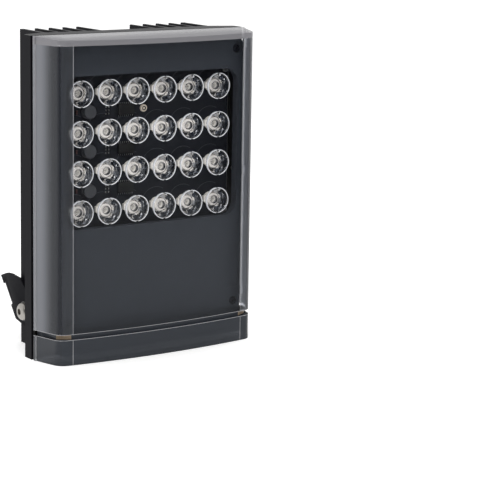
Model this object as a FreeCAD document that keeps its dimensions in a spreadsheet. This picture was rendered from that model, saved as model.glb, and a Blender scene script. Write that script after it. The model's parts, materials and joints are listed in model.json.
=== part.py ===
import FreeCAD, Part
import Sketcher
import math
import os

# Wall-mounted infrared illuminator: a finned aluminium housing, a clear cover in two parts,
# a board with rows of lensed emitters behind a black mask, and a folded yoke on two pivot screws.
# X runs across the front, Y from the front to the back, Z up. The origin lies in the middle of
# the housing slab's underside. All sizes are in millimetres.

os.makedirs("parts", exist_ok=True)
DOC = FreeCAD.newDocument("infrared_illuminator")

# Driving dimensions
SIZES = {
    # Extruded housing
    "body_width": 194.0,
    "body_height": 253.0,
    "slab_depth": 19.0,
    "rim_depth": 12.0,
    "rim_bevel": 1.5,
    "back_flat_margin": 3.0,
    "fin_pitch": 12.5,
    "fin_gap_width": 50.0,
    "fin_reach": 36.0,
    "fin_root": 3.2,
    "fin_tip": 2.2,
    "side_fin": 3.5,
    "rim_wall": 13.0,
    "rim_end": 12.0,
    "pocket_depth": 14.0,
    "pocket_corner": 6.0,
    # Posts inside the housing
    "plate_post": 4.5,
    "post_inset": 8.0,
    "post_floor": 4.0,
    "short_post": 3.5,
    "short_post_height": 4.0,
    "post_root": 1.0,
    # Clear cover
    "seal_thick": 2.5,
    "seal_inset": 1.5,
    "flange_thick": 3.0,
    "flange_lip": 1.0,
    "flange_step": 0.9,
    "cover_reach": 34.7,
    "cover_side_lean": 8.0,
    "cover_front_radius": 608.0,
    "cover_corner": 10.0,
    "cover_wall": 3.0,
    "cover_top_wall": 6.2,
    "cover_top_drop": 2.2,
    "corner_fill_width": 11.0,
    "corner_fill_depth": 6.2,
    "band_height": 20.2,
    "band_floor": 3.0,
    "groove_height": 4.0,
    "tongue_lap": 4.5,
    "tongue_wall": 2.0,
    "tongue_clearance": 0.1,
    "shelf_thick": 2.5,
    "boss_radius": 4.0,
    "boss_depth": 11.5,
    "boss_end_wall": 2.0,
    "cut_past": 1.0,
    # Inner mask
    "mask_side_gap": 13.0,
    "mask_low": 5.0,
    "mask_top_gap": 7.5,
    "mask_ahead": 3.0,
    "mask_wall": 2.5,
    "mask_lip": 6.0,
    "mask_corner": 4.0,
    "opening_side_margin": 5.5,
    "opening_low_margin": 1.5,
    "opening_high_margin": 3.6,
    "opening_radius": 11.0,
    "collar_depth": 7.0,
    "collar_wall": 2.0,
    "mask_post": 4.8,
    "mask_post_inset": 6.5,
    "mask_post_low": 31.4,
    "mask_post_drop": 14.8,
    "clip_width": 9.5,
    "clip_height": 35.0,
    "clip_low": 43.5,
    "clip_depth": 0.8,
    # Carrier plate, board, emitters and lenses
    "plate_gap": 2.0,
    "plate_thick": 4.0,
    "board_side_margin": 7.0,
    "board_end_margin": 5.0,
    "board_thick": 1.6,
    "board_screw_inset": 3.2,
    "board_post_gap": 0.5,
    "lens_columns": 6,
    "lens_rows": 4,
    "lens_field_sides": 42.8,
    "lens_top_drop": 44.6,
    "lens_lowest": 115.4,
    "lens_radius": 10.5,
    "lens_foot_radius": 5.0,
    "lens_height": 10.8,
    "holder_radius": 5.4,
    "holder_height": 2.5,
    "holder_tab_span": 14.6,
    "holder_tab_width": 5.0,
    "emitter_width": 3.6,
    "emitter_base": 0.8,
    "emitter_dome": 1.5,
    "emitter_dome_height": 1.0,
    # Parts soldered to the emitter board
    "coil_radius": 5.5,
    "coil_height": 5.0,
    "chip_width": 14.0,
    "chip_height": 8.5,
    "chip_thick": 1.6,
    "resistor_width": 3.2,
    "resistor_height": 1.3,
    "resistor_thick": 0.6,
    # Driver board in the housing pocket
    "driver_post_gap": 0.5,
    "driver_height": 54.0,
    "driver_thick": 1.6,
    "driver_low": 18.0,
    "choke_radius": 9.0,
    "choke_height": 6.5,
    "capacitor_radius": 3.8,
    "capacitor_length": 14.0,
    "terminal_width": 20.0,
    "terminal_height": 8.0,
    "terminal_depth": 6.5,
    "terminal_drop": 14.0,
    # Cable gland
    "gland_height": 88.0,
    "gland_thread": 10.0,
    "gland_hex": 24.0,
    "gland_flange": 7.0,
    "gland_nut_radius": 11.5,
    "gland_nut_length": 20.0,
    "gland_tip_radius": 8.0,
    "gland_bore": 5.5,
    "cable_hole": 4.0,
    "locknut_width": 24.0,
    "locknut_thick": 3.5,
    # Screws
    "cover_screw": 2.0,
    "cover_screw_head": 3.6,
    "cover_screw_head_height": 3.5,
    "cover_screw_sink": 4.0,
    "cover_screw_inset": 8.0,
    "cover_screw_edge": 11.5,
    "cover_screw_step": 26.0,
    "cover_screw_grip": 7.5,
    "small_screw": 1.5,
    "small_head": 2.9,
    "small_head_height": 1.8,
    "screw_bite": 5.0,
    "hole_clearance": 0.2,
    # Yoke and pivots
    "pivot_back": 29.5,
    "pivot_height": 29.0,
    "pivot_radius": 4.0,
    "pivot_running": 0.08,
    "pivot_head": 7.0,
    "pivot_head_height": 4.4,
    "pivot_key": 5.0,
    "pivot_length": 16.0,
    "washer_radius": 8.0,
    "washer_thick": 1.6,
    "liner_radius": 9.0,
    "liner_thick": 1.25,
    "nut_width": 13.0,
    "nut_height": 6.5,
    "yoke_sheet": 3.0,
    "yoke_bend": 3.0,
    "yoke_channel_lap": 6.0,
    "yoke_bar_back": 21.2,
    "yoke_bar_low": 17.0,
    "yoke_bar_top": 35.0,
    "yoke_foot_low": 3.5,
    "yoke_relief": 1.0,
    "yoke_edge_step": 1.6,
    "yoke_eye": 13.0,
    "yoke_tip": 43.7,
    "yoke_crown": 40.4,
    "yoke_crown_back": 10.0,
    "yoke_shoulder": 36.4,
    "yoke_shoulder_back": 4.3,
    "yoke_waist": 23.8,
    "yoke_waist_front": 8.8,
    "wall_hole": 3.5,
    "wall_hole_span": 100.0,
    "centre_hole": 4.5,
}
YOKE_LEAN_DEGREES = 39.0

SHEET = DOC.addObject("Spreadsheet::Sheet", "Sizes")
for row, (alias, number) in enumerate(SIZES.items(), 1):
    SHEET.set(f"A{row}", alias)
    SHEET.set(f"B{row}", str(number))
    SHEET.setAlias(f"B{row}", alias)
DOC.recompute()


class Size:
    """A number together with the spreadsheet expression that it comes from."""

    def __init__(self, value, text):
        self.value = float(value)
        self.text = text

    def joined(self, other, sign, value):
        return Size(value, f"({self.text} {sign} {other.text})")

    def __add__(self, other):
        other = as_size(other)
        return self.joined(other, "+", self.value + other.value)

    def __radd__(self, other):
        return as_size(other) + self

    def __sub__(self, other):
        other = as_size(other)
        return self.joined(other, "-", self.value - other.value)

    def __rsub__(self, other):
        return as_size(other) - self

    def __mul__(self, other):
        other = as_size(other)
        return self.joined(other, "*", self.value * other.value)

    def __rmul__(self, other):
        return as_size(other) * self

    def __truediv__(self, other):
        other = as_size(other)
        return self.joined(other, "/", self.value / other.value)

    def __neg__(self):
        return Size(-self.value, f"(0 - {self.text})")

    def root(self):
        return Size(math.sqrt(self.value), f"sqrt({self.text})")


def as_size(number):
    """Wrap a plain number, and leave a Size as it is."""
    return number if isinstance(number, Size) else Size(number, repr(float(number)))


class Sheet:
    """The driving dimensions by name, each as a Size."""

    def __getattr__(self, alias):
        return Size(SHEET.get(alias), f"Sizes.{alias}")


D = Sheet()

# Planes that several pieces share
HALF_WIDTH = D.body_width / 2
RIM_FRONT = -D.slab_depth / 2
SLAB_BACK = D.slab_depth / 2
RIM_BACK = RIM_FRONT + D.rim_depth
POCKET_FLOOR = RIM_FRONT + D.pocket_depth
POCKET_HALF = HALF_WIDTH - D.rim_wall
POCKET_LOW = D.rim_end
POCKET_HIGH = D.body_height - D.rim_end
FIN_BACK = SLAB_BACK + D.fin_reach
SIDE_FIN_X = D.fin_gap_width / 2 + 4 * D.fin_pitch
FLANGE_HALF = HALF_WIDTH - D.seal_inset + D.flange_lip
COVER_FRONT_HALF = HALF_WIDTH - D.cover_side_lean
COVER_SCREW_X = HALF_WIDTH - D.cover_screw_inset
MASK_HALF = HALF_WIDTH - D.mask_side_gap
MASK_HIGH = D.body_height - D.mask_top_gap
MASK_POST_X = MASK_HALF - D.mask_post_inset
PLATE_HALF = POCKET_HALF - D.plate_gap
PLATE_LOW = POCKET_LOW + D.plate_gap
PLATE_HIGH = POCKET_HIGH - D.plate_gap
PLATE_POST_X = PLATE_HALF - D.post_inset
LENS_PITCH_ACROSS = (D.body_width - D.lens_field_sides) / D.lens_columns
LENS_PITCH_UP = (D.body_height - D.lens_lowest - D.lens_top_drop) / (D.lens_rows - 1)
LENS_FIELD_HALF = (D.lens_columns - 1) / 2 * LENS_PITCH_ACROSS + D.lens_radius
LENS_FIELD_LOW = D.lens_lowest - D.lens_radius
LENS_FIELD_HIGH = D.body_height - D.lens_top_drop + D.lens_radius
BOARD_HALF = LENS_FIELD_HALF + D.board_side_margin
BOARD_LOW = LENS_FIELD_LOW - D.board_end_margin
BOARD_HIGH = LENS_FIELD_HIGH + D.board_end_margin
DRIVER_HALF = PLATE_POST_X - D.plate_post - D.driver_post_gap
COVER_BACK = RIM_FRONT - D.seal_thick
COVER_FRONT = COVER_BACK - D.cover_reach
PLATE_FRONT = RIM_FRONT - D.plate_thick
BOARD_FRONT = PLATE_FRONT - D.board_thick
HOLDER_FRONT = BOARD_FRONT - D.holder_height
LENS_FRONT = HOLDER_FRONT - D.lens_height
MASK_FRONT = LENS_FRONT - D.mask_ahead
MASK_BACK = MASK_FRONT + D.mask_wall
GROOVE_TOP = D.band_height + D.groove_height
DRIVER_BACK = POCKET_FLOOR - D.short_post_height
DRIVER_FRONT = DRIVER_BACK - D.driver_thick
DRIVER_MIDDLE = D.driver_low + D.driver_height / 2
ARM_INSIDE = SIDE_FIN_X + D.side_fin / 2 + D.liner_thick
ARM_OUTSIDE = ARM_INSIDE + D.yoke_sheet
COVER_SCREW_HEIGHTS = [
    D.cover_screw_edge,
    D.cover_screw_edge + D.cover_screw_step,
    D.body_height / 2 + D.cover_screw_edge,
    D.body_height - D.cover_screw_edge,
]
COVER_SCREW_SEAT = RIM_BACK - D.cover_screw_sink
NODES = []


def origin_plane(body, role):
    """Find one of a body's own origin planes."""
    return next(item for item in body.Origin.OriginFeatures if item.Role == role)


def new_body(name):
    """Start a sub-part as a body and list it as a node."""
    body = DOC.addObject("PartDesign::Body", name)
    body.Label = name
    NODES.append(body)
    return body


def new_sketch(body, name, plane, offset=None):
    """Put a sketch on an origin plane, moved along the plane's normal."""
    sketch = body.newObject("Sketcher::SketchObject", name)
    sketch.AttachmentSupport = [(origin_plane(body, plane), "")]
    sketch.MapMode = "FlatFace"
    if offset is not None:
        sketch.setExpression("AttachmentOffset.Base.z", as_size(offset).text)
    return sketch


def pin_point(sketch, index, position, x, y):
    """Fix one point of a sketch at x, y from the sheet's values."""
    for kind, size in (("DistanceX", as_size(x)), ("DistanceY", as_size(y))):
        number = sketch.addConstraint(Sketcher.Constraint(kind, index, position, size.value))
        sketch.setExpression(f"Constraints[{number}]", size.text)


def arc_middle(start, end, radius):
    """Middle point of the arc from start to end; a positive radius bulges to its right."""
    run = end - start
    half = run.Length / 2
    reach = math.sqrt(max(radius * radius - half * half, 0.0))
    rise = abs(radius) - reach
    side = FreeCAD.Vector(run.y, -run.x, 0).normalize()
    return (start + end) * 0.5 + side * math.copysign(rise, radius)


def add_outline(sketch, corners, arcs=None):
    """Draw a closed outline; arcs gives a signed radius for the edges that are round."""
    arcs = arcs or {}
    corners = [(as_size(x), as_size(y)) for x, y in corners]
    points = [FreeCAD.Vector(x.value, y.value, 0) for x, y in corners]
    ends = []
    for number, start in enumerate(points):
        end = points[(number + 1) % len(points)]
        if number in arcs:
            radius = as_size(arcs[number])
            middle = arc_middle(start, end, radius.value)
            index = sketch.addGeometry(Part.Arc(start, middle, end))
            turned = sketch.getPoint(index, 1).distanceToPoint(start) > 1e-6
            ends.append((index, 2, 1) if turned else (index, 1, 2))
            limit = sketch.addConstraint(Sketcher.Constraint("Radius", index, abs(radius.value)))
            text = radius.text if radius.value > 0 else (-radius).text
            sketch.setExpression(f"Constraints[{limit}]", text)
        else:
            index = sketch.addGeometry(Part.LineSegment(start, end))
            ends.append((index, 1, 2))
    for number, (index, first, last) in enumerate(ends):
        following = ends[(number + 1) % len(ends)]
        sketch.addConstraint(Sketcher.Constraint("Coincident", index, last, following[0], following[1]))
        pin_point(sketch, index, first, *corners[number])


def add_rectangle(sketch, left, right, low, high, radius=None):
    """Draw a rectangle, with round corners where a radius is given."""
    if radius is None:
        add_outline(sketch, [(left, low), (right, low), (right, high), (left, high)])
        return
    corners = [
        (left + radius, low),
        (right - radius, low),
        (right, low + radius),
        (right, high - radius),
        (right - radius, high),
        (left + radius, high),
        (left, high - radius),
        (left, low + radius),
    ]
    add_outline(sketch, corners, {1: radius, 3: radius, 5: radius, 7: radius})


def add_circle(sketch, x, y, radius):
    """Draw one circle."""
    x, y, radius = as_size(x), as_size(y), as_size(radius)
    circle = Part.Circle(FreeCAD.Vector(x.value, y.value, 0), FreeCAD.Vector(0, 0, 1), radius.value)
    index = sketch.addGeometry(circle)
    pin_point(sketch, index, 3, x, y)
    limit = sketch.addConstraint(Sketcher.Constraint("Radius", index, radius.value))
    sketch.setExpression(f"Constraints[{limit}]", radius.text)


def add_pad(body, sketch, length, reverse=False):
    """Raise a sketch into a solid along its normal, or against it."""
    pad = body.newObject("PartDesign::Pad", sketch.Name + "_pad")
    pad.Profile = sketch
    pad.Reversed = reverse
    pad.setExpression("Length", as_size(length).text)
    DOC.recompute()
    return pad


def add_pocket(body, sketch, length=None, reverse=False, both_ways=False):
    """Cut a sketch out of the solid; with no length the cut goes right through."""
    before = body.Shape.Volume
    pocket = body.newObject("PartDesign::Pocket", sketch.Name + "_cut")
    pocket.Profile = sketch
    pocket.Reversed = reverse
    if both_ways:
        pocket.SideType = "Symmetric"
    if length is None:
        pocket.Type = "ThroughAll"
    else:
        pocket.setExpression("Length", as_size(length).text)
    DOC.recompute()
    if body.Shape.Volume >= before:
        raise RuntimeError(f"{pocket.Name} removes nothing from {body.Label}")
    return pocket


def edge_names(shape, wanted):
    """Names of the edges whose middle point passes a test."""
    names = []
    for number, edge in enumerate(shape.Edges, 1):
        middle = edge.valueAt((edge.FirstParameter + edge.LastParameter) / 2)
        if wanted(edge, middle):
            names.append(f"Edge{number}")
    return names


def add_fillet(body, name, wanted, radius):
    """Round the edges of a body that pass a test."""
    tip = body.Tip
    names = edge_names(tip.Shape, wanted)
    if not names:
        raise RuntimeError(f"{name} finds no edge on {body.Label}")
    fillet = body.newObject("PartDesign::Fillet", name)
    fillet.Base = (tip, names)
    fillet.setExpression("Radius", as_size(radius).text)
    DOC.recompute()
    return fillet


def is_upright(edge):
    """True for a straight edge along Z."""
    low, high = edge.Vertexes[0].Point, edge.Vertexes[-1].Point
    return abs(low.x - high.x) < 1e-6 and abs(low.y - high.y) < 1e-6


# Directions in which a primitive's own axis can point
ALONG_Z = FreeCAD.Rotation()
ALONG_Y = FreeCAD.Rotation(FreeCAD.Vector(1, 0, 0), -90)
AGAINST_Y = FreeCAD.Rotation(FreeCAD.Vector(1, 0, 0), 90)
ALONG_X = FreeCAD.Rotation(FreeCAD.Vector(0, 1, 0), 90)
AGAINST_X = FreeCAD.Rotation(FreeCAD.Vector(0, 1, 0), -90)


def put(item, place, turn, **sizes):
    """Bind a primitive's sizes and place to the sheet."""
    item.Placement = FreeCAD.Placement(FreeCAD.Vector(), turn)
    for name, size in sizes.items():
        item.setExpression(name, as_size(size).text)
    for axis, size in zip("xyz", place):
        item.setExpression(f"Placement.Base.{axis}", as_size(size).text)
    return item


def rod(name, place, turn, radius, length):
    """A cylinder that starts at place."""
    item = DOC.addObject("Part::Cylinder", name)
    return put(item, place, turn, Radius=radius, Height=length)


def taper(name, place, turn, first_radius, last_radius, length):
    """A cone frustum that starts at place."""
    item = DOC.addObject("Part::Cone", name)
    return put(item, place, turn, Radius1=first_radius, Radius2=last_radius, Height=length)


def hexagon(name, place, turn, across_flats, length):
    """A six-sided prism that starts at place."""
    item = DOC.addObject("Part::Prism", name)
    item.Polygon = 6
    return put(item, place, turn, Circumradius=across_flats / Size(3, "3").root(), Height=length)


def block(name, corner, width, depth, height):
    """A box from its lowest corner."""
    item = DOC.addObject("Part::Box", name)
    return put(item, corner, ALONG_Z, Length=width, Width=depth, Height=height)


def fused(name, items):
    """Join primitives into one solid."""
    item = DOC.addObject("Part::MultiFuse", name)
    item.Shapes = items
    return item


def cut(name, base, tool):
    """Take one solid away from another."""
    item = DOC.addObject("Part::Cut", name)
    item.Base = base
    item.Tool = tool
    return item


def as_node(item, name):
    """List a finished object as a node."""
    item.Label = name
    NODES.append(item)
    return item


def group(name, items):
    """A node of several separate solids."""
    item = DOC.addObject("Part::Compound", name)
    item.Links = items
    return as_node(item, name)


def mirrored_pairs(x, heights):
    """Places at x and minus x for each height."""
    return [(side * x, height) for height in heights for side in (-1, 1)]


def plate_post_places():
    """Screw places of the carrier plate, clear of the board's two ends and of the mask's upper posts."""
    below_board = BOARD_LOW - D.small_head - D.board_post_gap
    above_board = (BOARD_HIGH + POCKET_HIGH) / 2
    lower_pairs = mirrored_pairs(PLATE_POST_X, [PLATE_LOW + D.post_inset, below_board])
    return lower_pairs + mirrored_pairs(PLATE_POST_X - D.plate_post, [above_board])


def driver_post_places():
    """Screw places of the driver board."""
    x = DRIVER_HALF - D.post_inset / 2
    inset = D.post_inset / 2
    return mirrored_pairs(x, [D.driver_low + inset, D.driver_low + D.driver_height - inset])


def mask_post_places():
    """Screw places of the mask."""
    return mirrored_pairs(MASK_POST_X, [D.mask_post_low, D.body_height - D.mask_post_drop])


def lens_places(row):
    """Axis places of one row of lenses, counted from the top."""
    height = LENS_FIELD_HIGH - D.lens_radius - row * LENS_PITCH_UP
    first = (D.lens_columns - 1) / 2
    columns = range(int(D.lens_columns.value))
    return [((column - first) * LENS_PITCH_ACROSS, height) for column in columns]


def board_screw_places():
    """Screw places of the emitter board, between its rows and at its ends."""
    between = LENS_FIELD_HIGH - D.lens_radius - LENS_PITCH_UP / 2
    inset = D.board_screw_inset
    return [(as_size(0), between)] + mirrored_pairs(BOARD_HALF - inset, [BOARD_LOW + inset, BOARD_HIGH - inset])


# Finned housing: one extrusion, milled out from the front

def fin_corners(centre, root, tip):
    """Four corners of one fin, walked from right to left."""
    return [
        (centre + root / 2, SLAB_BACK),
        (centre + tip / 2, FIN_BACK),
        (centre - tip / 2, FIN_BACK),
        (centre - root / 2, SLAB_BACK),
    ]


def housing_outline():
    """Section of the extrusion, anticlockwise from the front left corner."""
    bevel = D.rim_bevel
    half_flat = SIDE_FIN_X + D.back_flat_margin
    corners = [
        (-HALF_WIDTH, RIM_FRONT),
        (HALF_WIDTH, RIM_FRONT),
        (HALF_WIDTH, RIM_BACK - bevel),
        (HALF_WIDTH - bevel, RIM_BACK),
        (half_flat, SLAB_BACK),
    ]
    inner_fins = [D.fin_gap_width / 2 + step * D.fin_pitch for step in range(4)]
    corners += fin_corners(SIDE_FIN_X, D.side_fin, D.side_fin)
    for centre in reversed(inner_fins):
        corners += fin_corners(centre, D.fin_root, D.fin_tip)
    for centre in inner_fins:
        corners += fin_corners(-centre, D.fin_root, D.fin_tip)
    corners += fin_corners(-SIDE_FIN_X, D.side_fin, D.side_fin)
    corners += [
        (-half_flat, SLAB_BACK),
        (bevel - HALF_WIDTH, RIM_BACK),
        (-HALF_WIDTH, RIM_BACK - bevel),
    ]
    return corners


def heat_sink():
    """Extruded slab, rim and fins with the milled pocket, posts and holes."""
    body = new_body("heat_sink")
    section = new_sketch(body, "housing_section", "XY_Plane")
    add_outline(section, housing_outline())
    add_pad(body, section, D.body_height)

    pocket = new_sketch(body, "housing_pocket", "XZ_Plane", -RIM_FRONT)
    add_rectangle(pocket, -POCKET_HALF, POCKET_HALF, POCKET_LOW, POCKET_HIGH, D.pocket_corner)
    for x, height in plate_post_places():
        add_circle(pocket, x, height, D.plate_post)
    add_pocket(body, pocket, D.pocket_depth)

    posts = new_sketch(body, "driver_posts", "XZ_Plane", -DRIVER_BACK)
    for x, height in driver_post_places():
        add_circle(posts, x, height, D.short_post)
    add_pad(body, posts, D.short_post_height + D.post_root, reverse=True)

    bores = new_sketch(body, "post_bores", "XZ_Plane", -RIM_FRONT)
    for x, height in plate_post_places():
        add_circle(bores, x, height, D.small_screw)
    add_pocket(body, bores, D.pocket_depth - D.post_floor)

    driver_bores = new_sketch(body, "driver_bores", "XZ_Plane", -DRIVER_BACK)
    for x, height in driver_post_places():
        add_circle(driver_bores, x, height, D.small_screw)
    add_pocket(body, driver_bores, D.short_post_height)

    holes = new_sketch(body, "cover_screw_holes", "XZ_Plane", -RIM_FRONT)
    seats = new_sketch(body, "cover_screw_seats", "XZ_Plane", -COVER_SCREW_SEAT)
    for x, height in mirrored_pairs(COVER_SCREW_X, COVER_SCREW_HEIGHTS):
        add_circle(holes, x, height, D.cover_screw + D.hole_clearance)
        add_circle(seats, x, height, D.cover_screw_head + D.hole_clearance)
    add_pocket(body, holes)
    add_pocket(body, seats)

    gland = new_sketch(body, "gland_hole", "XZ_Plane", -RIM_FRONT)
    add_circle(gland, 0, D.gland_height, D.gland_thread + D.hole_clearance)
    add_pocket(body, gland)

    between_fins = SIDE_FIN_X - D.fin_pitch / 2
    for side, outward in ((1, True), (-1, False)):
        pivots = new_sketch(body, f"pivot_holes_{'right' if outward else 'left'}", "YZ_Plane", side * between_fins)
        add_circle(pivots, D.pivot_back, D.pivot_height, D.pivot_radius + D.hole_clearance)
        add_circle(pivots, D.pivot_back, D.body_height - D.pivot_height, D.pivot_radius)
        add_pocket(body, pivots, reverse=outward)


# Clear cover

def front_y(x, inset):
    """Height of the cover's front arc at x, moved in by inset."""
    radius = D.cover_front_radius - inset
    centre = COVER_FRONT + D.cover_front_radius
    return centre - (radius * radius - x * x).root()


def side_x(y, inset):
    """Half width of the cover's side wall at y, moved in by inset."""
    back = FLANGE_HALF - D.flange_step
    flange_front = COVER_BACK - D.flange_thick
    slope = (back - COVER_FRONT_HALF) / (flange_front - front_y(COVER_FRONT_HALF, 0))
    return back - (flange_front - y) * slope - inset * (1 + slope * slope).root()


def cover_outline():
    """Plan of the cover's outside, with its flange step."""
    step = COVER_BACK - D.flange_thick
    front = front_y(COVER_FRONT_HALF, 0)
    corners = [
        (FLANGE_HALF, COVER_BACK),
        (-FLANGE_HALF, COVER_BACK),
        (-FLANGE_HALF, step),
        (-side_x(step, 0), step),
        (-COVER_FRONT_HALF, front),
        (COVER_FRONT_HALF, front),
        (side_x(step, 0), step),
        (FLANGE_HALF, step),
    ]
    return corners, {4: D.cover_front_radius}


def hollow_outline(inset, back):
    """Plan of a hollow in the cover, whose front corners are filled aslant."""
    pane = COVER_FRONT_HALF - D.corner_fill_width - (inset - D.cover_wall) / 2
    front = front_y(pane, inset)
    turn = front + D.corner_fill_depth
    corners = [
        (side_x(back, inset), back),
        (-side_x(back, inset), back),
        (-side_x(turn, inset), turn),
        (-pane, front),
        (pane, front),
        (side_x(turn, inset), turn),
    ]
    return corners, {3: D.cover_front_radius - inset}


def round_front_corners(body):
    """Round the two upright front corners of a cover."""
    half_front = COVER_FRONT_HALF.value
    front = front_y(COVER_FRONT_HALF, 0).value

    def at_corner(edge, middle):
        return is_upright(edge) and abs(abs(middle.x) - half_front) < 0.01 and abs(middle.y - front) < 0.01

    add_fillet(body, body.Name + "_corners", at_corner, D.cover_corner)


def add_bosses(body, heights):
    """Screw bosses inside a cover, down from the flange plane."""
    bosses = new_sketch(body, body.Name + "_bosses", "XZ_Plane", -COVER_BACK)
    for x, height in mirrored_pairs(COVER_SCREW_X, heights):
        add_circle(bosses, x, height, D.boss_radius)
    add_pad(body, bosses, D.boss_depth)
    bores = new_sketch(body, body.Name + "_boss_bores", "XZ_Plane", -COVER_BACK)
    for x, height in mirrored_pairs(COVER_SCREW_X, heights):
        add_circle(bores, x, height, D.cover_screw)
    add_pocket(body, bores, D.boss_depth - D.boss_end_wall, reverse=True)


def front_cover():
    """Moulded clear cover with an arched front, thick front corners and a tongue below."""
    body = new_body("front_cover")
    outside = new_sketch(body, "cover_outside", "XY_Plane", GROOVE_TOP)
    add_outline(outside, *cover_outline())
    add_pad(body, outside, D.body_height - GROOVE_TOP)
    round_front_corners(body)

    slope = new_sketch(body, "cover_top_slope", "YZ_Plane")
    ahead = COVER_FRONT - D.cut_past
    low = D.body_height - D.cover_top_drop * (COVER_BACK - ahead) / D.cover_reach
    add_outline(slope, [(COVER_BACK, D.body_height), (ahead, low), (ahead, D.body_height + D.cut_past)])
    add_pocket(body, slope, both_ways=True)

    tongue = new_sketch(body, "cover_tongue", "XY_Plane", D.band_height - D.tongue_lap)
    add_outline(tongue, *hollow_outline(D.cover_wall + D.tongue_clearance, COVER_BACK))
    add_pad(body, tongue, D.groove_height + D.tongue_lap)

    throat = new_sketch(body, "cover_throat", "XY_Plane", D.band_height - D.tongue_lap)
    inset = D.cover_wall + D.tongue_clearance + D.tongue_wall
    add_outline(throat, *hollow_outline(inset, RIM_FRONT))
    add_pocket(body, throat, D.tongue_lap + D.groove_height + D.shelf_thick + D.cut_past, reverse=True)

    hollow = new_sketch(body, "cover_hollow", "XY_Plane", GROOVE_TOP + D.shelf_thick)
    add_outline(hollow, *hollow_outline(D.cover_wall, RIM_FRONT))
    add_pocket(body, hollow, D.body_height - D.cover_top_wall - GROOVE_TOP - D.shelf_thick, reverse=True)
    add_bosses(body, COVER_SCREW_HEIGHTS[1:])


def lower_cover():
    """Clear lower band with its own floor, closed round the tongue of the front cover."""
    body = new_body("lower_cover")
    outside = new_sketch(body, "band_outside", "XY_Plane")
    add_outline(outside, *cover_outline())
    add_pad(body, outside, D.band_height)
    round_front_corners(body)

    hollow = new_sketch(body, "band_hollow", "XY_Plane", D.band_floor)
    add_outline(hollow, *hollow_outline(D.cover_wall, RIM_FRONT))
    add_pocket(body, hollow, D.band_height, reverse=True)
    add_bosses(body, COVER_SCREW_HEIGHTS[:1])


def cover_seal():
    """Flat black gasket between the housing rim and the cover."""
    body = new_body("cover_seal")
    ring = new_sketch(body, "seal_ring", "XZ_Plane", -RIM_FRONT)
    half = HALF_WIDTH - D.seal_inset
    add_rectangle(ring, -half, half, D.seal_inset, D.body_height - D.seal_inset)
    add_rectangle(ring, -POCKET_HALF, POCKET_HALF, POCKET_LOW, POCKET_HIGH, D.pocket_corner)
    for x, height in mirrored_pairs(COVER_SCREW_X, COVER_SCREW_HEIGHTS):
        add_circle(ring, x, height, D.cover_screw + D.hole_clearance)
    add_pad(body, ring, D.seal_thick)


# Black mask around the emitters

def inner_mask():
    """Moulded mask with a deep-collared window, clip recesses and four posts."""
    body = new_body("inner_mask")
    half = MASK_HALF
    high = MASK_HIGH
    plate = new_sketch(body, "mask_plate", "XZ_Plane", -MASK_BACK)
    add_rectangle(plate, -half, half, D.mask_low, high, D.mask_corner)
    add_pad(body, plate, D.mask_wall)

    lip = new_sketch(body, "mask_edge", "XZ_Plane", -MASK_BACK)
    wall = D.collar_wall
    add_rectangle(lip, -half, half, D.mask_low, high, D.mask_corner)
    add_rectangle(lip, wall - half, half - wall, D.mask_low + wall, high - wall, D.mask_corner - wall / 2)
    add_pad(body, lip, D.mask_lip - D.mask_wall, reverse=True)

    window_half = LENS_FIELD_HALF + D.opening_side_margin
    low = LENS_FIELD_LOW - D.opening_low_margin
    top = LENS_FIELD_HIGH + D.opening_high_margin
    collar = new_sketch(body, "mask_collar", "XZ_Plane", -MASK_BACK)
    add_rectangle(collar, -window_half - wall, window_half + wall, low - wall, top + wall, D.opening_radius + wall)
    add_pad(body, collar, D.collar_depth - D.mask_wall, reverse=True)
    opening = new_sketch(body, "mask_opening", "XZ_Plane", -MASK_FRONT)
    add_rectangle(opening, -window_half, window_half, low, top, D.opening_radius)
    add_pocket(body, opening)

    posts = new_sketch(body, "mask_posts", "XZ_Plane", -MASK_BACK)
    seats = new_sketch(body, "mask_screw_seats", "XZ_Plane", -MASK_FRONT)
    bores = new_sketch(body, "mask_post_bores", "XZ_Plane", -MASK_FRONT)
    for x, height in mask_post_places():
        add_circle(posts, x, height, D.mask_post)
        add_circle(seats, x, height, D.small_head + 3 * D.hole_clearance)
        add_circle(bores, x, height, D.small_screw + D.hole_clearance)
    add_pad(body, posts, PLATE_FRONT - MASK_BACK, reverse=True)
    add_pocket(body, seats, D.small_head_height + D.hole_clearance)
    add_pocket(body, bores)

    clips = new_sketch(body, "mask_clip_recesses", "XZ_Plane", -MASK_FRONT)
    outer = MASK_POST_X + D.clip_width / 2
    for side in (-1, 1):
        ends = sorted((side * outer, side * (outer - D.clip_width)), key=lambda size: size.value)
        add_rectangle(clips, ends[0], ends[1], D.clip_low, D.clip_low + D.clip_height)
    add_pocket(body, clips, D.clip_depth)


# Carrier plate and emitter board

def carrier_plate():
    """Aluminium plate that carries the emitter board and spreads its heat."""
    body = new_body("carrier_plate")
    plate = new_sketch(body, "plate_outline", "XZ_Plane", -RIM_FRONT)
    add_rectangle(plate, -PLATE_HALF, PLATE_HALF, PLATE_LOW, PLATE_HIGH, D.pocket_corner)
    add_pad(body, plate, D.plate_thick)
    holes = new_sketch(body, "plate_holes", "XZ_Plane", -PLATE_FRONT)
    for x, height in plate_post_places():
        add_circle(holes, x, height, D.small_screw + D.hole_clearance)
    for x, height in mask_post_places() + board_screw_places():
        add_circle(holes, x, height, D.small_screw)
    add_pocket(body, holes)


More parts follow.
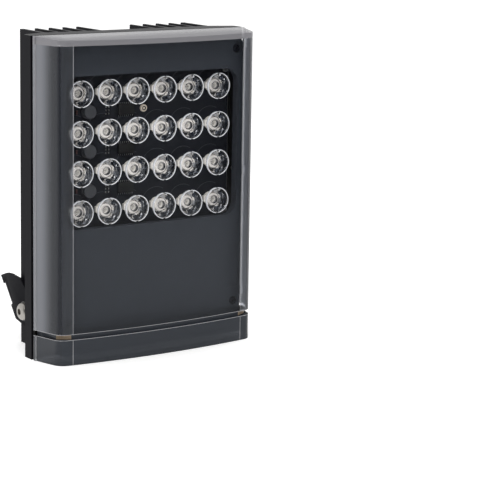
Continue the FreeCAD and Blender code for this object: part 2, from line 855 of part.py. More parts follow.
def led_board():
    """Emitter board with its screw holes."""
    body = new_body("led_board")
    board = new_sketch(body, "board_outline", "XZ_Plane", -PLATE_FRONT)
    add_rectangle(board, -BOARD_HALF, BOARD_HALF, BOARD_LOW, BOARD_HIGH)
    add_pad(body, board, D.board_thick)
    holes = new_sketch(body, "board_holes", "XZ_Plane", -BOARD_FRONT)
    for x, height in board_screw_places():
        add_circle(holes, x, height, D.small_screw + D.hole_clearance)
    add_pocket(body, holes)


def lenses():
    """Moulded lenses, each narrowing from its round face to its foot on the holder."""
    for row in range(int(D.lens_rows.value)):
        for column, (x, height) in enumerate(lens_places(row), 1):
            name = f"lens_{row + 1}_{column}"
            place = (x, LENS_FRONT, height)
            as_node(taper(name, place, ALONG_Y, D.lens_radius, D.lens_foot_radius, D.lens_height), name)


def emitters():
    """Round white holders with two tabs, and the square emitters with small domes in them."""
    holders = []
    chips = []
    half_tab = D.holder_tab_width / 2
    half_chip = D.emitter_width / 2
    for row in range(int(D.lens_rows.value)):
        for column, (x, height) in enumerate(lens_places(row), 1):
            tag = f"{row + 1}_{column}"
            disc = rod(f"holder_disc_{tag}", (x, BOARD_FRONT, height), AGAINST_Y, D.holder_radius, D.holder_height)
            corner = (x - D.holder_tab_span / 2, HOLDER_FRONT, height - half_tab)
            tabs = block(f"holder_tabs_{tag}", corner, D.holder_tab_span, D.holder_height, D.holder_tab_width)
            outside = fused(f"holder_outside_{tag}", [disc, tabs])
            corner = (x - half_chip - 0.1, HOLDER_FRONT, height - half_chip - 0.1)
            width = D.emitter_width + 0.2
            well = block(f"holder_well_{tag}", corner, width, D.holder_height, width)
            holders.append(cut(f"holder_{tag}", outside, well))
            corner = (x - half_chip, BOARD_FRONT - D.emitter_base, height - half_chip)
            base = block(f"emitter_base_{tag}", corner, D.emitter_width, D.emitter_base, D.emitter_width)
            place = (x, BOARD_FRONT - D.emitter_base, height)
            dome = taper(f"emitter_dome_{tag}", place, AGAINST_Y, D.emitter_dome, D.emitter_dome / 2,
                         D.emitter_dome_height)
            chips.append(fused(f"emitter_{tag}", [base, dome]))
    group("lens_holders", holders)
    group("led_emitters", chips)


def board_parts():
    """Coils, driver chips and small parts between the lens rows."""
    across = LENS_PITCH_ACROSS
    resistors = []
    capacitors = []
    for number in range(3):
        height = LENS_FIELD_HIGH - D.lens_radius - (number + 0.5) * LENS_PITCH_UP
        coil = rod(f"coil_{number + 1}", (-2 * across, BOARD_FRONT, height), AGAINST_Y, D.coil_radius, D.coil_height)
        as_node(coil, f"inductor_{number + 1}")
        corner = (-0.64 * across - D.chip_width / 2, BOARD_FRONT - D.chip_thick, height - D.chip_height / 2)
        chip = block(f"chip_{number + 1}", corner, D.chip_width, D.chip_thick, D.chip_height)
        as_node(chip, f"driver_chip_{number + 1}")
        for step in range(3):
            low = height + (step - 1) * 2 * D.resistor_height - D.resistor_height / 2
            place = (-1.3 * across - D.resistor_width / 2, BOARD_FRONT - D.resistor_thick, low)
            name = f"resistor_{number + 1}_{step + 1}"
            resistors.append(block(name, place, D.resistor_width, D.resistor_thick, D.resistor_height))
        place = (-2.42 * across, BOARD_FRONT - 2 * D.resistor_thick, height - D.resistor_width / 2)
        name = f"chip_capacitor_{number + 1}"
        capacitors.append(block(name, place, D.resistor_height, 2 * D.resistor_thick, D.resistor_width))
    group("sense_resistors", resistors)
    group("chip_capacitors", capacitors)


# Driver electronics in the pocket

def driver_parts():
    """Driver board, choke, capacitors and terminal block."""
    body = new_body("driver_board")
    board = new_sketch(body, "driver_outline", "XZ_Plane", -DRIVER_BACK)
    add_rectangle(board, -DRIVER_HALF, DRIVER_HALF, D.driver_low, D.driver_low + D.driver_height)
    for x, height in driver_post_places():
        add_circle(board, x, height, D.small_screw + D.hole_clearance)
    add_pad(body, board, D.driver_thick)

    place = (-DRIVER_HALF / 2, DRIVER_FRONT, DRIVER_MIDDLE)
    as_node(rod("choke", place, AGAINST_Y, D.choke_radius, D.choke_height), "power_inductor")
    cans = []
    for number in range(2):
        x = DRIVER_HALF / 3 + number * 2.5 * D.capacitor_radius
        place = (x, DRIVER_FRONT - D.capacitor_radius, DRIVER_MIDDLE - D.capacitor_length / 2)
        cans.append(rod(f"filter_capacitor_{number + 1}", place, ALONG_Z, D.capacitor_radius, D.capacitor_length))
    group("filter_capacitors", cans)
    corner = (-D.terminal_width / 2, DRIVER_FRONT - D.terminal_depth, D.driver_low + D.driver_height - D.terminal_drop)
    as_node(block("terminals", corner, D.terminal_width, D.terminal_depth, D.terminal_height), "terminal_block")


# Fasteners

def small_screws(name, places, seat, length):
    """Identical small screws whose heads sit in front of the seat plane."""
    items = []
    for number, (x, height) in enumerate(places, 1):
        tag = f"{name}_{number}"
        head = rod(tag + "_head", (x, seat, height), AGAINST_Y, D.small_head, D.small_head_height)
        shank = rod(tag + "_shank", (x, seat, height), ALONG_Y, D.small_screw, length)
        items.append(fused(tag, [head, shank]))
    group(name, items)


def cover_screws():
    """Screws from behind, through the rim into the cover's bosses."""
    items = []
    places = mirrored_pairs(COVER_SCREW_X, COVER_SCREW_HEIGHTS)
    for number, (x, height) in enumerate(places, 1):
        tag = f"cover_screw_{number}"
        head = rod(tag + "_head", (x, COVER_SCREW_SEAT, height), ALONG_Y, D.cover_screw_head, D.cover_screw_head_height)
        reach = COVER_SCREW_SEAT - COVER_BACK + D.cover_screw_grip
        shank = rod(tag + "_shank", (x, COVER_SCREW_SEAT, height), AGAINST_Y, D.cover_screw, reach)
        items.append(fused(tag, [head, shank]))
    group("cover_screws", items)


# Cable gland in the gap between the fins

def cable_gland():
    """Gland body through the back wall, with its locknut, seal and domed nut."""
    thread_front = POCKET_FLOOR - D.locknut_thick - 1
    flange_back = SLAB_BACK + D.gland_flange
    nut_back = flange_back + D.gland_nut_length
    height = D.gland_height
    outside = fused("gland_outside", [
        rod("gland_thread_rod", (0, thread_front, height), ALONG_Y, D.gland_thread, SLAB_BACK - thread_front),
        hexagon("gland_hexagon", (0, SLAB_BACK, height), ALONG_Y, D.gland_hex, D.gland_flange),
    ])
    bore = rod("gland_body_bore", (0, thread_front, height), ALONG_Y, D.gland_bore, flange_back - thread_front)
    as_node(cut("gland_shell", outside, bore), "gland_body")

    seat = (0, POCKET_FLOOR - D.locknut_thick, height)
    locknut = hexagon("locknut_hexagon", seat, ALONG_Y, D.locknut_width, D.locknut_thick)
    hole = rod("locknut_hole", seat, ALONG_Y, D.gland_thread, D.locknut_thick)
    as_node(cut("locknut", locknut, hole), "gland_locknut")

    straight = D.gland_nut_length * 0.6
    dome = fused("gland_nut_outside", [
        rod("gland_nut_rod", (0, flange_back, height), ALONG_Y, D.gland_nut_radius, straight),
        taper("gland_nut_dome", (0, flange_back + straight, height), ALONG_Y,
              D.gland_nut_radius, D.gland_tip_radius, D.gland_nut_length - straight),
    ])
    bore = rod("gland_nut_bore", (0, flange_back, height), ALONG_Y, D.gland_bore, nut_back - flange_back)
    as_node(cut("gland_nut_shell", dome, bore), "gland_nut")

    sleeve = rod("gland_sleeve", (0, flange_back - 2, height), ALONG_Y, D.gland_bore, D.gland_nut_length)
    hole = rod("gland_sleeve_hole", (0, flange_back - 2, height), ALONG_Y, D.cable_hole, D.gland_nut_length)
    as_node(cut("gland_sleeve_shell", sleeve, hole), "gland_seal")


# Yoke, folded from one sheet, and its pivots

def yoke():
    """U-shaped yoke, drawn with its bar upright and then leaned back about the pivots."""
    body = new_body("yoke")
    back = D.yoke_bar_back
    inside = back - D.yoke_sheet
    outer_bend = D.yoke_bend + D.yoke_sheet
    bar = new_sketch(body, "yoke_channel", "XY_Plane", D.yoke_bar_low)
    front = back - outer_bend - D.yoke_channel_lap
    corners = [
        (ARM_OUTSIDE, front),
        (ARM_OUTSIDE, back - outer_bend),
        (ARM_OUTSIDE - outer_bend, back),
        (outer_bend - ARM_OUTSIDE, back),
        (-ARM_OUTSIDE, back - outer_bend),
        (-ARM_OUTSIDE, front),
        (-ARM_INSIDE, front),
        (-ARM_INSIDE, inside - D.yoke_bend),
        (D.yoke_bend - ARM_INSIDE, inside),
        (ARM_INSIDE - D.yoke_bend, inside),
        (ARM_INSIDE, inside - D.yoke_bend),
        (ARM_INSIDE, front),
    ]
    arcs = {1: outer_bend, 3: outer_bend, 7: -D.yoke_bend, 9: -D.yoke_bend}
    add_outline(bar, corners, arcs)
    add_pad(body, bar, D.yoke_bar_top - D.yoke_bar_low)

    # Arm plate in Y and Z about the pivot
    eye = D.yoke_eye
    slant = Size(0.5, "0.5").root() * eye
    edge = back - outer_bend
    free = back - D.yoke_edge_step
    relief_low = D.yoke_bar_low - D.yoke_relief
    relief_high = D.yoke_bar_top + D.yoke_relief
    arm = [
        (slant, -slant),
        (free, D.yoke_foot_low),
        (free, relief_low),
        (edge, relief_low),
        (edge, relief_high),
        (free, relief_high),
        (free, D.yoke_tip),
        (D.yoke_crown_back, D.yoke_crown),
        (D.yoke_shoulder_back, D.yoke_shoulder),
        (-D.yoke_waist_front, D.yoke_waist),
        (-eye, 0),
    ]
    for side, outward in ((1, False), (-1, True)):
        name = "yoke_arm_left" if outward else "yoke_arm_right"
        plate = new_sketch(body, name, "YZ_Plane", side * ARM_INSIDE)
        add_outline(plate, arm, {10: eye})
        add_pad(body, plate, D.yoke_sheet, reverse=outward)

    eyes = new_sketch(body, "yoke_eyes", "YZ_Plane")
    add_circle(eyes, 0, 0, D.pivot_radius + D.pivot_running)
    add_pocket(body, eyes, both_ways=True)
    holes = new_sketch(body, "yoke_wall_holes", "XZ_Plane")
    middle = (D.yoke_bar_low + D.yoke_bar_top) / 2
    add_circle(holes, 0, middle, D.centre_hole)
    for side in (-1, 1):
        add_circle(holes, side * D.wall_hole_span / 2, middle, D.wall_hole)
    add_pocket(body, holes)
    body.Placement = FreeCAD.Placement(FreeCAD.Vector(), FreeCAD.Rotation(FreeCAD.Vector(1, 0, 0), -YOKE_LEAN_DEGREES))
    body.setExpression("Placement.Base.y", D.pivot_back.text)
    body.setExpression("Placement.Base.z", D.pivot_height.text)


def pivot_parts():
    """Screws, washers, liners and nuts on the pivot axis, one set on each side."""
    screws = []
    washers = []
    liners = []
    nuts = []
    fin_outside = SIDE_FIN_X + D.side_fin / 2
    fin_inside = SIDE_FIN_X - D.side_fin / 2
    head_seat = ARM_OUTSIDE + D.washer_thick
    for side, out, back in ((1, ALONG_X, AGAINST_X), (-1, AGAINST_X, ALONG_X)):
        tag = "right" if side > 0 else "left"

        def at(distance):
            return (side * distance, D.pivot_back, D.pivot_height)

        dome = fused(f"pivot_head_{tag}", [
            rod(f"pivot_head_base_{tag}", at(head_seat), out, D.pivot_head, D.pivot_head_height * 0.4),
            taper(f"pivot_head_dome_{tag}", at(head_seat + D.pivot_head_height * 0.4), out,
                  D.pivot_head, D.pivot_head * 0.62, D.pivot_head_height * 0.6),
        ])
        key_start = head_seat + D.pivot_head_height * 0.4
        key = hexagon(f"pivot_key_{tag}", at(key_start), out, D.pivot_key, D.pivot_head_height)
        head = cut(f"pivot_socket_{tag}", dome, key)
        shank = rod(f"pivot_shank_{tag}", at(head_seat), back, D.pivot_radius, D.pivot_length)
        screws.append(fused(f"pivot_screw_{tag}", [head, shank]))

        disc = rod(f"washer_disc_{tag}", at(ARM_OUTSIDE), out, D.washer_radius, D.washer_thick)
        hole = rod(f"washer_hole_{tag}", at(ARM_OUTSIDE), out, D.pivot_radius + D.hole_clearance, D.washer_thick)
        washers.append(cut(f"pivot_washer_{tag}", disc, hole))

        disc = rod(f"liner_disc_{tag}", at(fin_outside), out, D.liner_radius, D.liner_thick)
        hole = rod(f"liner_hole_{tag}", at(fin_outside), out, D.pivot_radius + D.hole_clearance, D.liner_thick)
        liners.append(cut(f"pivot_liner_{tag}", disc, hole))

        nut = hexagon(f"nut_hexagon_{tag}", at(fin_inside), back, D.nut_width, D.nut_height)
        hole = rod(f"nut_hole_{tag}", at(fin_inside), back, D.pivot_radius, D.nut_height)
        nuts.append(cut(f"pivot_nut_{tag}", nut, hole))
    group("pivot_screws", screws)
    group("pivot_washers", washers)
    group("friction_washers", liners)
    group("pivot_nuts", nuts)


heat_sink()
cover_seal()
front_cover()
lower_cover()
cover_screws()
inner_mask()
carrier_plate()
led_board()
lenses()
emitters()
board_parts()
driver_parts()
small_screws("mask_screws", mask_post_places(), MASK_FRONT + D.small_head_height, PLATE_FRONT - MASK_FRONT)
small_screws("plate_screws", plate_post_places(), PLATE_FRONT, D.plate_thick + D.screw_bite)
small_screws("board_screws", board_screw_places(), BOARD_FRONT, D.board_thick + D.plate_thick)
small_screws("driver_board_screws", driver_post_places(), DRIVER_FRONT, D.driver_thick + D.short_post_height)
cable_gland()
yoke()
pivot_parts()
DOC.recompute()

# Check every object and write each node
for item in DOC.Objects:
    if "Invalid" in item.State or "Error" in item.State:
        raise RuntimeError(f"{item.Name} failed: {item.State}")
for node in NODES:
    shape = node.Shape
    if shape.isNull() or not shape.isValid() or not shape.Solids:
        raise RuntimeError(f"{node.Label} has no valid solid")
    shape.exportStep(f"parts/{node.Label}.step")
    box = shape.BoundBox
    print(f"{node.Label}: {len(shape.Solids)} solids, {shape.Volume:.0f} mm3, "
          f"x {box.XMin:.1f}..{box.XMax:.1f}, y {box.YMin:.1f}..{box.YMax:.1f}, z {box.ZMin:.1f}..{box.ZMax:.1f}")
print(len(NODES), "nodes")
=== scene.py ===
import json
import logging
import math
from dataclasses import dataclass, field
from enum import Enum
from typing import Sequence

import bmesh
import bpy
from mathutils import Matrix, Vector

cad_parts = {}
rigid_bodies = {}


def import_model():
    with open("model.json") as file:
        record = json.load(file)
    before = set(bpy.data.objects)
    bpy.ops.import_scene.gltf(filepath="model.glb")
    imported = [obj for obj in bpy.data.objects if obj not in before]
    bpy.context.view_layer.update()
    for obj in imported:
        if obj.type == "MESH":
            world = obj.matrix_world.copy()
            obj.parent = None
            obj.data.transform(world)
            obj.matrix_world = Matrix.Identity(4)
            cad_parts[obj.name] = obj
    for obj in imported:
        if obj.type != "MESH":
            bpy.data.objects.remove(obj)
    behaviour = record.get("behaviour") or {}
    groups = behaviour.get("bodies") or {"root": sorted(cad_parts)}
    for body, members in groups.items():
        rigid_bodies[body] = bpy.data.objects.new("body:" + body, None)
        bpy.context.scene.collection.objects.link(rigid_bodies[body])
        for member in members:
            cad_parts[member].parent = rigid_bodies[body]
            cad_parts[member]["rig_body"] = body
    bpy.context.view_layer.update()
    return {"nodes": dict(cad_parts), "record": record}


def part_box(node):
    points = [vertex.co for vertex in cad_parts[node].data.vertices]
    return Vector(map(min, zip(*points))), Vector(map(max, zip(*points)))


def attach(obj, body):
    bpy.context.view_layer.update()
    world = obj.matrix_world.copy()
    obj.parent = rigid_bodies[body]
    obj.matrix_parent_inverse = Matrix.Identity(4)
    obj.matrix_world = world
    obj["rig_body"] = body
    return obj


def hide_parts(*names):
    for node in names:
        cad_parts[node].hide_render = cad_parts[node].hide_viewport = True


# Looks of a wall-mounted infrared illuminator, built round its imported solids.
# Metres, X across the front, Y from front to back, Z up.

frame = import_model()
LOG = logging.getLogger("illuminator")

Point = tuple[float, float, float]
Profile = Sequence[tuple[float, float]]


# Finishes

def combined(tree: bpy.types.NodeTree, operation: str, first: bpy.types.NodeSocket,
             second: bpy.types.NodeSocket | float) -> bpy.types.NodeSocket:
    """Work out one value from two in a Math node.

    Args:
        tree: The tree that takes the node.
        operation: The node's operation.
        first: The first value.
        second: The second value, as a socket or a plain number.

    Returns:
        The socket with the result.
    """
    made = tree.nodes.new("ShaderNodeMath")
    made.operation = operation
    tree.links.new(first, made.inputs[0])
    if isinstance(second, float):
        made.inputs[1].default_value = second
    else:
        tree.links.new(second, made.inputs[1])
    return made.outputs[0]


class Socket(Enum):
    """Sockets of the Principled shader that the finishes set."""

    COLOUR = "Base Color"
    ROUGHNESS = "Roughness"
    METALLIC = "Metallic"
    IOR = "IOR"
    SPECULAR = "Specular IOR Level"
    TRANSMISSION = "Transmission Weight"
    COAT = "Coat Weight"
    NORMAL = "Normal"


class GrainGroup:
    """Shader group that gives a fine surface grain as a height and a roughness."""

    NAME = "surface_grain"
    BROAD_SCALE = 18.0

    @classmethod
    def tree(cls) -> bpy.types.NodeTree:
        """Make the group once and return it."""
        found = bpy.data.node_groups.get(cls.NAME)
        if found:
            return found
        tree = bpy.data.node_groups.new(cls.NAME, "ShaderNodeTree")
        face = tree.interface
        for name, start in (("Scale", 400.0), ("Stretch", 1.0), ("Roughness", 0.5), ("Swing", 0.05)):
            face.new_socket(name=name, in_out="INPUT", socket_type="NodeSocketFloat").default_value = start
        face.new_socket(name="Height", in_out="OUTPUT", socket_type="NodeSocketFloat")
        face.new_socket(name="Roughness", in_out="OUTPUT", socket_type="NodeSocketFloat")
        nodes, links = tree.nodes, tree.links
        entry, leave = nodes.new("NodeGroupInput"), nodes.new("NodeGroupOutput")
        place = nodes.new("ShaderNodeTexCoord")
        squeeze = nodes.new("ShaderNodeCombineXYZ")
        squeeze.inputs["X"].default_value = 1.0
        squeeze.inputs["Y"].default_value = 1.0
        links.new(entry.outputs["Stretch"], squeeze.inputs["Z"])
        mapping = nodes.new("ShaderNodeMapping")
        links.new(place.outputs["Object"], mapping.inputs["Vector"])
        links.new(squeeze.outputs["Vector"], mapping.inputs["Scale"])
        fine = nodes.new("ShaderNodeTexNoise")
        fine.inputs["Detail"].default_value = 3.0
        links.new(mapping.outputs["Vector"], fine.inputs["Vector"])
        links.new(entry.outputs["Scale"], fine.inputs["Scale"])
        broad = nodes.new("ShaderNodeTexNoise")
        broad.inputs["Scale"].default_value = cls.BROAD_SCALE
        links.new(place.outputs["Object"], broad.inputs["Vector"])
        scaled = nodes.new("ShaderNodeMath")
        scaled.operation = "MULTIPLY_ADD"
        links.new(combined(tree, "SUBTRACT", broad.outputs["Fac"], 0.5), scaled.inputs[0])
        links.new(entry.outputs["Swing"], scaled.inputs[1])
        links.new(entry.outputs["Roughness"], scaled.inputs[2])
        links.new(fine.outputs["Fac"], leave.inputs["Height"])
        links.new(scaled.outputs[0], leave.inputs["Roughness"])
        return tree


@dataclass(frozen=True)
class Finish:
    """A plain finish: one colour, one gloss."""

    name: str
    colour: tuple[float, float, float]
    roughness: float = 0.5
    metallic: float = 0.0
    specular: float = 0.5
    coat: float = 0.0

    def material(self) -> bpy.types.Material:
        """Make the material once and return it."""
        name = self.name + "_finish"
        found = bpy.data.materials.get(name)
        if found:
            return found
        material = bpy.data.materials.new(name)
        material.use_nodes = True
        shader = material.node_tree.nodes["Principled BSDF"]
        shader.inputs[Socket.COLOUR.value].default_value = (*self.colour, 1.0)
        shader.inputs[Socket.ROUGHNESS.value].default_value = self.roughness
        shader.inputs[Socket.METALLIC.value].default_value = self.metallic
        shader.inputs[Socket.SPECULAR.value].default_value = self.specular
        shader.inputs[Socket.COAT.value].default_value = self.coat
        self.dress(material, shader)
        return material

    def dress(self, material: bpy.types.Material, shader: bpy.types.Node) -> None:
        """Add what the kind of finish needs.

        Args:
            material: The new material.
            shader: Its Principled node.
        """


@dataclass(frozen=True)
class GrainedFinish(Finish):
    """A finish with a fine grain or drawn lines and an uneven gloss."""

    grain: float = 900.0
    stretch: float = 1.0
    depth: float = 0.00001
    swing: float = 0.08

    def dress(self, material: bpy.types.Material, shader: bpy.types.Node) -> None:
        """Place the grain group and feed it to the roughness and the bump.

        Args:
            material: The new material.
            shader: Its Principled node.
        """
        nodes, links = material.node_tree.nodes, material.node_tree.links
        grain = nodes.new("ShaderNodeGroup")
        grain.node_tree = GrainGroup.tree()
        grain.inputs["Scale"].default_value = self.grain
        grain.inputs["Stretch"].default_value = self.stretch
        grain.inputs["Roughness"].default_value = self.roughness
        grain.inputs["Swing"].default_value = self.swing
        bump = nodes.new("ShaderNodeBump")
        bump.inputs["Strength"].default_value = 1.0
        bump.inputs["Distance"].default_value = self.depth
        links.new(grain.outputs["Height"], bump.inputs["Height"])
        links.new(bump.outputs["Normal"], shader.inputs[Socket.NORMAL.value])
        links.new(grain.outputs["Roughness"], shader.inputs[Socket.ROUGHNESS.value])


class FadeGroup:
    """Shader group that fades from one colour to another along Y."""

    NAME = "colour_fade"

    @classmethod
    def tree(cls) -> bpy.types.NodeTree:
        """Make the group once and return it."""
        found = bpy.data.node_groups.get(cls.NAME)
        if found:
            return found
        tree = bpy.data.node_groups.new(cls.NAME, "ShaderNodeTree")
        face = tree.interface
        for name in ("From", "To"):
            face.new_socket(name=name, in_out="INPUT", socket_type="NodeSocketFloat")
        for name in ("First", "Last"):
            face.new_socket(name=name, in_out="INPUT", socket_type="NodeSocketColor")
        face.new_socket(name="Colour", in_out="OUTPUT", socket_type="NodeSocketColor")
        nodes, links = tree.nodes, tree.links
        entry, leave = nodes.new("NodeGroupInput"), nodes.new("NodeGroupOutput")
        place, split = nodes.new("ShaderNodeTexCoord"), nodes.new("ShaderNodeSeparateXYZ")
        share, mix = nodes.new("ShaderNodeMapRange"), nodes.new("ShaderNodeMix")
        share.interpolation_type = "SMOOTHSTEP"
        mix.data_type = "RGBA"
        links.new(place.outputs["Object"], split.inputs["Vector"])
        links.new(split.outputs["Y"], share.inputs["Value"])
        links.new(entry.outputs["From"], share.inputs["From Min"])
        links.new(entry.outputs["To"], share.inputs["From Max"])
        links.new(share.outputs["Result"], mix.inputs[0])
        links.new(entry.outputs["First"], mix.inputs[6])
        links.new(entry.outputs["Last"], mix.inputs[7])
        links.new(mix.outputs[2], leave.inputs["Colour"])
        return tree


@dataclass(frozen=True)
class ClearFinish(Finish):
    """A see-through moulding that lets lamp light through to what is behind it.

    The light that passes takes the colour of shade, where one is given.
    """

    ior: float = 1.49
    clear: float = 1.0
    far_colour: tuple[float, float, float] | None = None
    fade_from: float = -0.034
    fade_to: float = -0.018
    shade: tuple[float, float, float] | None = None

    def dress(self, material: bpy.types.Material, shader: bpy.types.Node) -> None:
        """Make the shader transmit, and let shadow rays pass.

        Args:
            material: The new material.
            shader: Its Principled node.
        """
        shader.inputs[Socket.TRANSMISSION.value].default_value = self.clear
        shader.inputs[Socket.IOR.value].default_value = self.ior
        nodes, links = material.node_tree.nodes, material.node_tree.links
        # The far colour fades in along Y; on the cover's side walls it is a painted reflection.
        if self.far_colour:
            fade = nodes.new("ShaderNodeGroup")
            fade.node_tree = FadeGroup.tree()
            fade.inputs["From"].default_value = self.fade_from
            fade.inputs["To"].default_value = self.fade_to
            fade.inputs["First"].default_value = (*self.colour, 1.0)
            fade.inputs["Last"].default_value = (*self.far_colour, 1.0)
            links.new(fade.outputs["Colour"], shader.inputs[Socket.COLOUR.value])
        output = nodes["Material Output"]
        clear = nodes.new("ShaderNodeBsdfTransparent")
        through = self.shade or tuple(tone * self.clear for tone in self.colour)
        clear.inputs["Color"].default_value = (*through, 1.0)
        path = nodes.new("ShaderNodeLightPath")
        either = combined(material.node_tree, "MAXIMUM", path.outputs["Is Shadow Ray"],
                          path.outputs["Is Diffuse Ray"])
        mix = nodes.new("ShaderNodeMixShader")
        links.new(either, mix.inputs["Fac"])
        links.new(shader.outputs["BSDF"], mix.inputs[1])
        links.new(clear.outputs["BSDF"], mix.inputs[2])
        links.new(mix.outputs["Shader"], output.inputs["Surface"])


HOUSING = GrainedFinish("anodised_housing", (0.008, 0.008, 0.010), 0.36, specular=0.04, grain=1500,
                        stretch=0.02, depth=0.000004, swing=0.06)
YOKE_COAT = GrainedFinish("yoke_powder_coat", (0.007, 0.007, 0.009), 0.45, specular=0.04, grain=2200,
                          depth=0.00001)
CLEAR_COVER = ClearFinish("clear_cover", (0.97, 0.98, 0.99), 0.0, coat=0.8, ior=1.02)
COVER_INSIDE = ClearFinish("cover_inside", (0.99, 0.99, 1.0), 0.0, ior=1.02)
# Painted reflection: the side walls fade from dark at the front to pale grey at the back, in place of the
# soft light that they mirror.
COVER_SIDE_REFLECTION = ClearFinish("cover_side_painted_reflection", (0.035, 0.038, 0.046), 0.1, coat=0.9, ior=1.02, clear=0.4,
                         far_colour=(0.27, 0.28, 0.31))
# Painted shade: the corner turn is a grey tint that darkens it, in place of the smeared dark image that the
# curved corner refracts.
COVER_CORNER_SHADE = ClearFinish("cover_corner", (0.3, 0.32, 0.36), 0.3, coat=0.8, ior=1.15, clear=0.9)
# Painted reflection: the top walls are pale grey, in place of the bright room that they mirror at a grazing
# angle.
COVER_TOP_REFLECTION = ClearFinish("cover_top_painted_reflection", (0.32, 0.315, 0.335), 0.2, coat=0.6, ior=1.02, clear=0.4)
# Painted highlight: eased edges and thin lines along the groove and the pane's sides are light grey, in
# place of the glints that they catch.
COVER_EDGE_HIGHLIGHT = ClearFinish("cover_edge_painted_highlight", (0.5, 0.5, 0.52), 0.2, coat=0.6, ior=1.02, clear=0.3)
BAND_FRONT = ClearFinish("band_front", (0.042, 0.047, 0.056), 0.1, coat=0.7, ior=1.02, clear=0.1)
# Painted glint: the groove's faces round the corners are amber, in place of warm light glinting through the
# clear edges.
GROOVE_GLINT = Finish("groove_painted_glint", (0.33, 0.25, 0.17), 0.3)
BAND_SIDE = ClearFinish("band_side", (0.04, 0.044, 0.052), 0.15, coat=0.8, ior=1.02, clear=0.1)
LENS_CLEAR = ClearFinish("lens_clear", (0.99, 0.99, 1.0), 0.0, ior=1.49)
# Painted reflection: the outer walls of the lenses are tinted dark blue-grey, in place of the dark board
# that they mirror.
LENS_WALL_REFLECTION = ClearFinish("lens_wall_painted_reflection", (0.05, 0.06, 0.08), 0.0, ior=1.49, clear=0.88, shade=(0.99, 0.99, 1.0))
# Painted highlight: the clear rim round each lens face is an opaque near-white, in place of the light that
# the rim catches.
LENS_RIM_HIGHLIGHT = Finish("lens_rim", (0.95, 0.96, 0.98), 0.15, specular=0.5, coat=0.6)
SEAL_RUBBER = Finish("seal_rubber", (0.008, 0.008, 0.008), 0.7, specular=0.2)
MASK_FACE = GrainedFinish("mask_face", (0.038, 0.042, 0.0495), 0.5, specular=0.04, grain=900, depth=0.000001,
                          swing=0.03)
MASK_SCREW = Finish("mask_screw", (0.016, 0.017, 0.023), 0.6, specular=0.1)
SCREW_BLACK = Finish("screw_black", (0.01, 0.01, 0.011), 0.4, specular=0.5)
SCREW_BRASS = Finish("screw_brass", (0.6, 0.52, 0.42), 0.3, specular=0.8)
SCREW_STEEL = Finish("screw_steel", (0.55, 0.55, 0.54), 0.3, metallic=1.0)
PIVOT_STEEL = GrainedFinish("pivot_stainless", (0.46, 0.44, 0.41), 0.35, metallic=1.0, grain=700,
                            depth=0.000004)
PLATE_ALLOY = GrainedFinish("plate_aluminium", (0.6, 0.6, 0.6), 0.4, metallic=1.0, grain=900)
BOARD_MASK = GrainedFinish("emitter_board", (0.012, 0.0135, 0.018), 0.4, specular=0.3, grain=3000)
BOARD_GREEN = GrainedFinish("driver_board", (0.01, 0.06, 0.02), 0.35, grain=3000)
BOARD_PRINT = Finish("board_print", (0.07, 0.075, 0.085), 0.6)
HOLDER_CREAM = Finish("holder_cream", (0.95, 0.9, 0.81), 0.4)
EMITTER_BASE = Finish("emitter_base", (0.8, 0.77, 0.68), 0.4)
EMITTER_CHIP = Finish("emitter_chip", (0.2, 0.17, 0.13), 0.3)
FERRITE = GrainedFinish("ferrite_grey", (0.05, 0.052, 0.058), 0.5, grain=1800, depth=0.00002)
CHIP_RESIN = Finish("chip_resin", (0.012, 0.012, 0.012), 0.5)
TINNED = Finish("tinned_ends", (0.7, 0.7, 0.68), 0.3, metallic=1.0)
RESISTOR = Finish("resistor_glaze", (0.01, 0.01, 0.01), 0.35)
CERAMIC = Finish("capacitor_ceramic", (0.06, 0.02, 0.018), 0.5)
CAN_ALLOY = Finish("capacitor_can", (0.6, 0.6, 0.61), 0.3, metallic=1.0)
TERMINAL = Finish("terminal_moulding", (0.02, 0.16, 0.06), 0.45)
NYLON = GrainedFinish("gland_nylon", (0.014, 0.014, 0.014), 0.5, grain=1600, depth=0.00001)
LINER = Finish("liner_nylon", (0.02, 0.02, 0.02), 0.5)
# Painted shade: near-black for the groove of the board's ring screw, where shade falls in the recess.
RING_GROOVE_SHADE = Finish("ring_groove_painted_shade", (0.01, 0.01, 0.01), 0.6)

SLOT_FINISHES: dict[str, Finish] = {
    "housing_black": HOUSING,
    "seal_rubber": SEAL_RUBBER,
    "clear_cover": CLEAR_COVER,
    "screw_steel": SCREW_STEEL,
    "screw_black": SCREW_BLACK,
    "mask_black": MASK_FACE,
    "plate_aluminium": PLATE_ALLOY,
    "board_black": BOARD_MASK,
    "board_green": BOARD_GREEN,
    "lens_clear": LENS_CLEAR,
    "holder_cream": HOLDER_CREAM,
    "emitter_resin": EMITTER_BASE,
    "ferrite_grey": FERRITE,
    "chip_black": CHIP_RESIN,
    "resistor_black": RESISTOR,
    "capacitor_ceramic": CERAMIC,
    "can_aluminium": CAN_ALLOY,
    "terminal_green": TERMINAL,
    "gland_black": NYLON,
    "yoke_black": YOKE_COAT,
    "pivot_stainless": PIVOT_STEEL,
    "liner_plastic": LINER,
}
NODE_FINISHES: dict[str, Finish] = {"pivot_washers": SCREW_BLACK, "mask_screws": MASK_SCREW}


# Mesh helpers

def link(name: str, mesh: bpy.types.Mesh, finish: Finish | None = None) -> bpy.types.Object:
    """Put a mesh in the scene as a named object at the origin.

    Args:
        name: The object's name.
        mesh: Its mesh, already in place.
        finish: The finish that it takes, if its mesh has none yet.

    Returns:
        The new object.
    """
    made = bpy.data.objects.new(name, mesh)
    bpy.context.scene.collection.objects.link(made)
    if finish:
        mesh.materials.clear()
        mesh.materials.append(finish.material())
    return made


